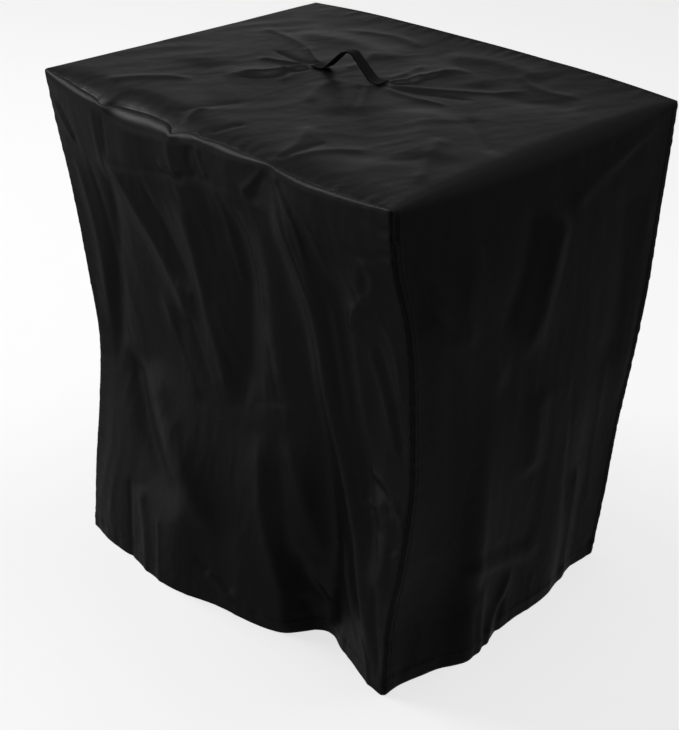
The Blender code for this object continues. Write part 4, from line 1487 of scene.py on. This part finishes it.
hem_stitches = sew("hem_stitches", strip_paths[:2] + panel_paths)
seam_stitches = sew("seam_stitches", strip_paths[2:-2])
top_stitches = sew("top_edge_stitches", strip_paths[-2:])

# %% Box stitches on the strap's ends
BOX_MARGIN = 2.2 * MM
BOX_PITCH = 2.4 * MM
BOX_STITCH = 2.0 * MM
BOX_SAMPLES = 9


def box_stitches(start, end):
    """A box with a cross, sewn through one end of the strap, between two distances along the webbing."""
    inset = BOX_MARGIN / STRAP_WIDTH
    corners = [(start, inset), (end, inset), (end, 1 - inset), (start, 1 - inset)]
    sides = list(zip(corners, corners[1:] + corners[:1]))
    sides += [(corners[0], corners[2]), (corners[1], corners[3])]
    share = np.linspace(0, 1, BOX_SAMPLES)
    paths = []
    for (along_a, across_a), (along_b, across_b) in sides:
        along = along_a + (along_b - along_a) * share
        across = across_a + (across_b - across_a) * share
        path = strap_point(along, across)
        path[:, 2] += THREAD_LIFT
        paths.append(path)
    return paths


near_box = box_stitches(BOX_MARGIN, TAB_LENGTH)
far_box = box_stitches(strap_length - TAB_LENGTH, strap_length - BOX_MARGIN)
strap_stitches = sew("strap_stitches", near_box + far_box, pitch=BOX_PITCH, stitch=BOX_STITCH)

# %% [markdown]
# ## Floor, light and camera
#
# The cover stands in a plain pale studio. Black cloth shows what it mirrors, so soft glows in the air
# round it draw the shine on the top and the folds. A softbox high on the left gives the bright line on
# the rolled front edge, and one above lights the top. The camera stands where the picture was taken
# from: a little above the cover, in front of its near corner.

# %% Floor and world
FLOOR_SIZE = 6.0
FLOOR_GLOW = 0.72
UNDER_HEM = 0.5 * MM
FIBRES_PER_METRE = 40
ROOM_LIGHT = 0.031
Glow = namedtuple("Glow", "toward strength sharpness")
GLOWS = (
    Glow((-0.80, 0.50, 0.35), 0.04, 1.6),
    Glow((-0.68, 0.73, 0.05), 0.40, 30.0),
    Glow((0.45, 0.80, 0.40), 0.11, 8.0),
    Glow((-0.35, 0.80, -0.50), 0.16, 12.0),
    Glow((0.00, 0.00, -1.00), 0.11, 3.0),
    Glow((-0.73, -0.68, -0.02), 0.54, 20.0),
    Glow((-0.05, -0.94, -0.32), 0.09, 6.0),
    Glow((-0.90, -0.10, -0.42), 0.20, 30.0),
    Glow((0.55, 0.60, -0.60), 0.025, 6.0),
)


def make_floor():
    """A plain pale floor just under the hem."""
    bpy.ops.mesh.primitive_plane_add(size=FLOOR_SIZE, location=(0, 0, FLOOR_LEVEL - UNDER_HEM))
    floor = bpy.context.active_object
    floor.name = "studio_floor"
    finish, tree, shader = new_material("matt_white_paper")
    place = add_node(tree, "ShaderNodeTexCoord").outputs["Object"]
    fibrous = {"Vector": place, "Scale": FIBRES_PER_METRE, "Detail": 3}
    fibres = add_node(tree, "ShaderNodeTexNoise", fibrous).outputs["Fac"]
    whites = {"Factor": fibres, "A": linear("#f4f4f4"), "B": linear("#fafafa")}
    colour_from_mix(tree, add_node(tree, "ShaderNodeMix", whites, data_type="RGBA"), shader)
    shader.inputs["Roughness"].default_value = 0.95
    shader.inputs["Specular IOR Level"].default_value = 0.1
    shader.inputs["Emission Color"].default_value = linear("#ffffff")
    shader.inputs["Emission Strength"].default_value = FLOOR_GLOW
    floor.data.materials.append(finish)
    floor.visible_glossy = False
    floor.visible_diffuse = False
    return floor


def make_world():
    """White studio air for the camera, and a dim room with soft glows for what the room lights."""
    world = bpy.data.worlds.new("studio_air")
    world.use_nodes = True
    tree = world.node_tree
    tree.nodes.clear()
    seen = add_node(tree, "ShaderNodeLightPath").outputs["Is Camera Ray"]
    heading = add_node(tree, "ShaderNodeTexCoord").outputs["Generated"]
    brightness = ROOM_LIGHT
    for glow in GLOWS:
        aim = {0: heading, 1: Vector(glow.toward).normalized()}
        facing = add_node(tree, "ShaderNodeVectorMath", aim, operation="DOT_PRODUCT").outputs["Value"]
        lit = add_node(tree, "ShaderNodeMath", {0: facing, 1: 0.0}, operation="MAXIMUM").outputs[0]
        soft = add_node(tree, "ShaderNodeMath", {0: lit, 1: glow.sharpness}, operation="POWER").outputs[0]
        added = {0: soft, 1: glow.strength, 2: brightness}
        brightness = add_node(tree, "ShaderNodeMath", added, operation="MULTIPLY_ADD").outputs[0]
    white = linear("#ffffff")
    room = add_node(tree, "ShaderNodeBackground", {"Color": white, "Strength": brightness}).outputs[0]
    backdrop = add_node(tree, "ShaderNodeBackground", {"Color": white, "Strength": 1.0}).outputs[0]
    air = add_node(tree, "ShaderNodeMixShader", {0: seen, 1: room, 2: backdrop}).outputs["Shader"]
    add_node(tree, "ShaderNodeOutputWorld", {"Surface": air})
    bpy.context.scene.world = world


floor = make_floor()
make_world()
bpy.context.scene.view_settings.view_transform = "Standard"
print("floor at", round(floor.location.z, 4))

# %% Soft lights
Softbox = namedtuple("Softbox", "name place target width height watts")
SOFTBOXES = (
    Softbox("light_front_left", (-2.2, -0.7, 2.1), (0.0, 0.0, -0.2), 1.6, 1.2, 22),
    Softbox("light_above", (0.3, 0.6, 2.6), (0.0, 0.0, 0.0), 1.4, 1.4, 8),
)


def make_softbox(box):
    """A rectangular area light that points at its target."""
    light = bpy.data.lights.new(box.name, "AREA")
    light.shape = "RECTANGLE"
    light.size = box.width
    light.size_y = box.height
    light.energy = box.watts
    lamp = bpy.data.objects.new(box.name, light)
    lamp.location = box.place
    lamp.rotation_euler = (Vector(box.target) - Vector(box.place)).to_track_quat("-Z", "Y").to_euler()
    bpy.context.scene.collection.objects.link(lamp)
    return lamp


for box in SOFTBOXES:
    make_softbox(box)
print("softboxes:", [box.name for box in SOFTBOXES])

# %% Camera
CAMERA_PLACE = (1.112, -1.302, 0.553)
AZIMUTH = math.radians(40.493)
ELEVATION = math.radians(28.238)
ROLL = math.radians(3.101)
LENS = 74.71


def make_camera():
    """The camera, turned round the cover by its azimuth, down by its elevation, and tilted by its roll."""
    back = Vector((
        math.sin(AZIMUTH) * math.cos(ELEVATION),
        -math.cos(AZIMUTH) * math.cos(ELEVATION),
        math.sin(ELEVATION),
    ))
    level = Vector((math.cos(AZIMUTH), math.sin(AZIMUTH), 0))
    upright = back.cross(level)
    right = math.cos(ROLL) * level + math.sin(ROLL) * upright
    up = math.cos(ROLL) * upright - math.sin(ROLL) * level
    view = bpy.data.cameras.new("photo_view")
    view.lens = LENS
    camera = bpy.data.objects.new("photo_view", view)
    camera.matrix_world = Matrix.Translation(CAMERA_PLACE) @ Matrix((right, up, back)).transposed().to_4x4()
    bpy.context.scene.collection.objects.link(camera)
    bpy.context.scene.camera = camera
    return camera


camera = make_camera()
print("lens:", camera.data.lens, "mm")

# %% [markdown]
# ## Pieces on the body
#
# Each sheet stands for its plain solid, which it hides. All pieces ride on the imported model's one body.

SHEETS = (
    (front_cloth, "front_panel", "coated_cloth", (LENGTH, HEIGHT), [strip_cloth.name]),
    (back_cloth, "back_panel", "coated_cloth", (LENGTH, HEIGHT), [strip_cloth.name]),
    (strip_cloth, "top_and_sides", "coated_cloth", (WIDTH, 2 * HEIGHT + LENGTH), []),
    (strap_webbing, "carry_strap", "webbing", (STRAP_WIDTH, strap_length), [strip_cloth.name]),
)
for piece, node, slot, flat, carried_by in SHEETS:
    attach(piece, "root")
    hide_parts(node)
for piece in (hem_stitches, seam_stitches, top_stitches, strap_stitches):
    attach(piece, "root")
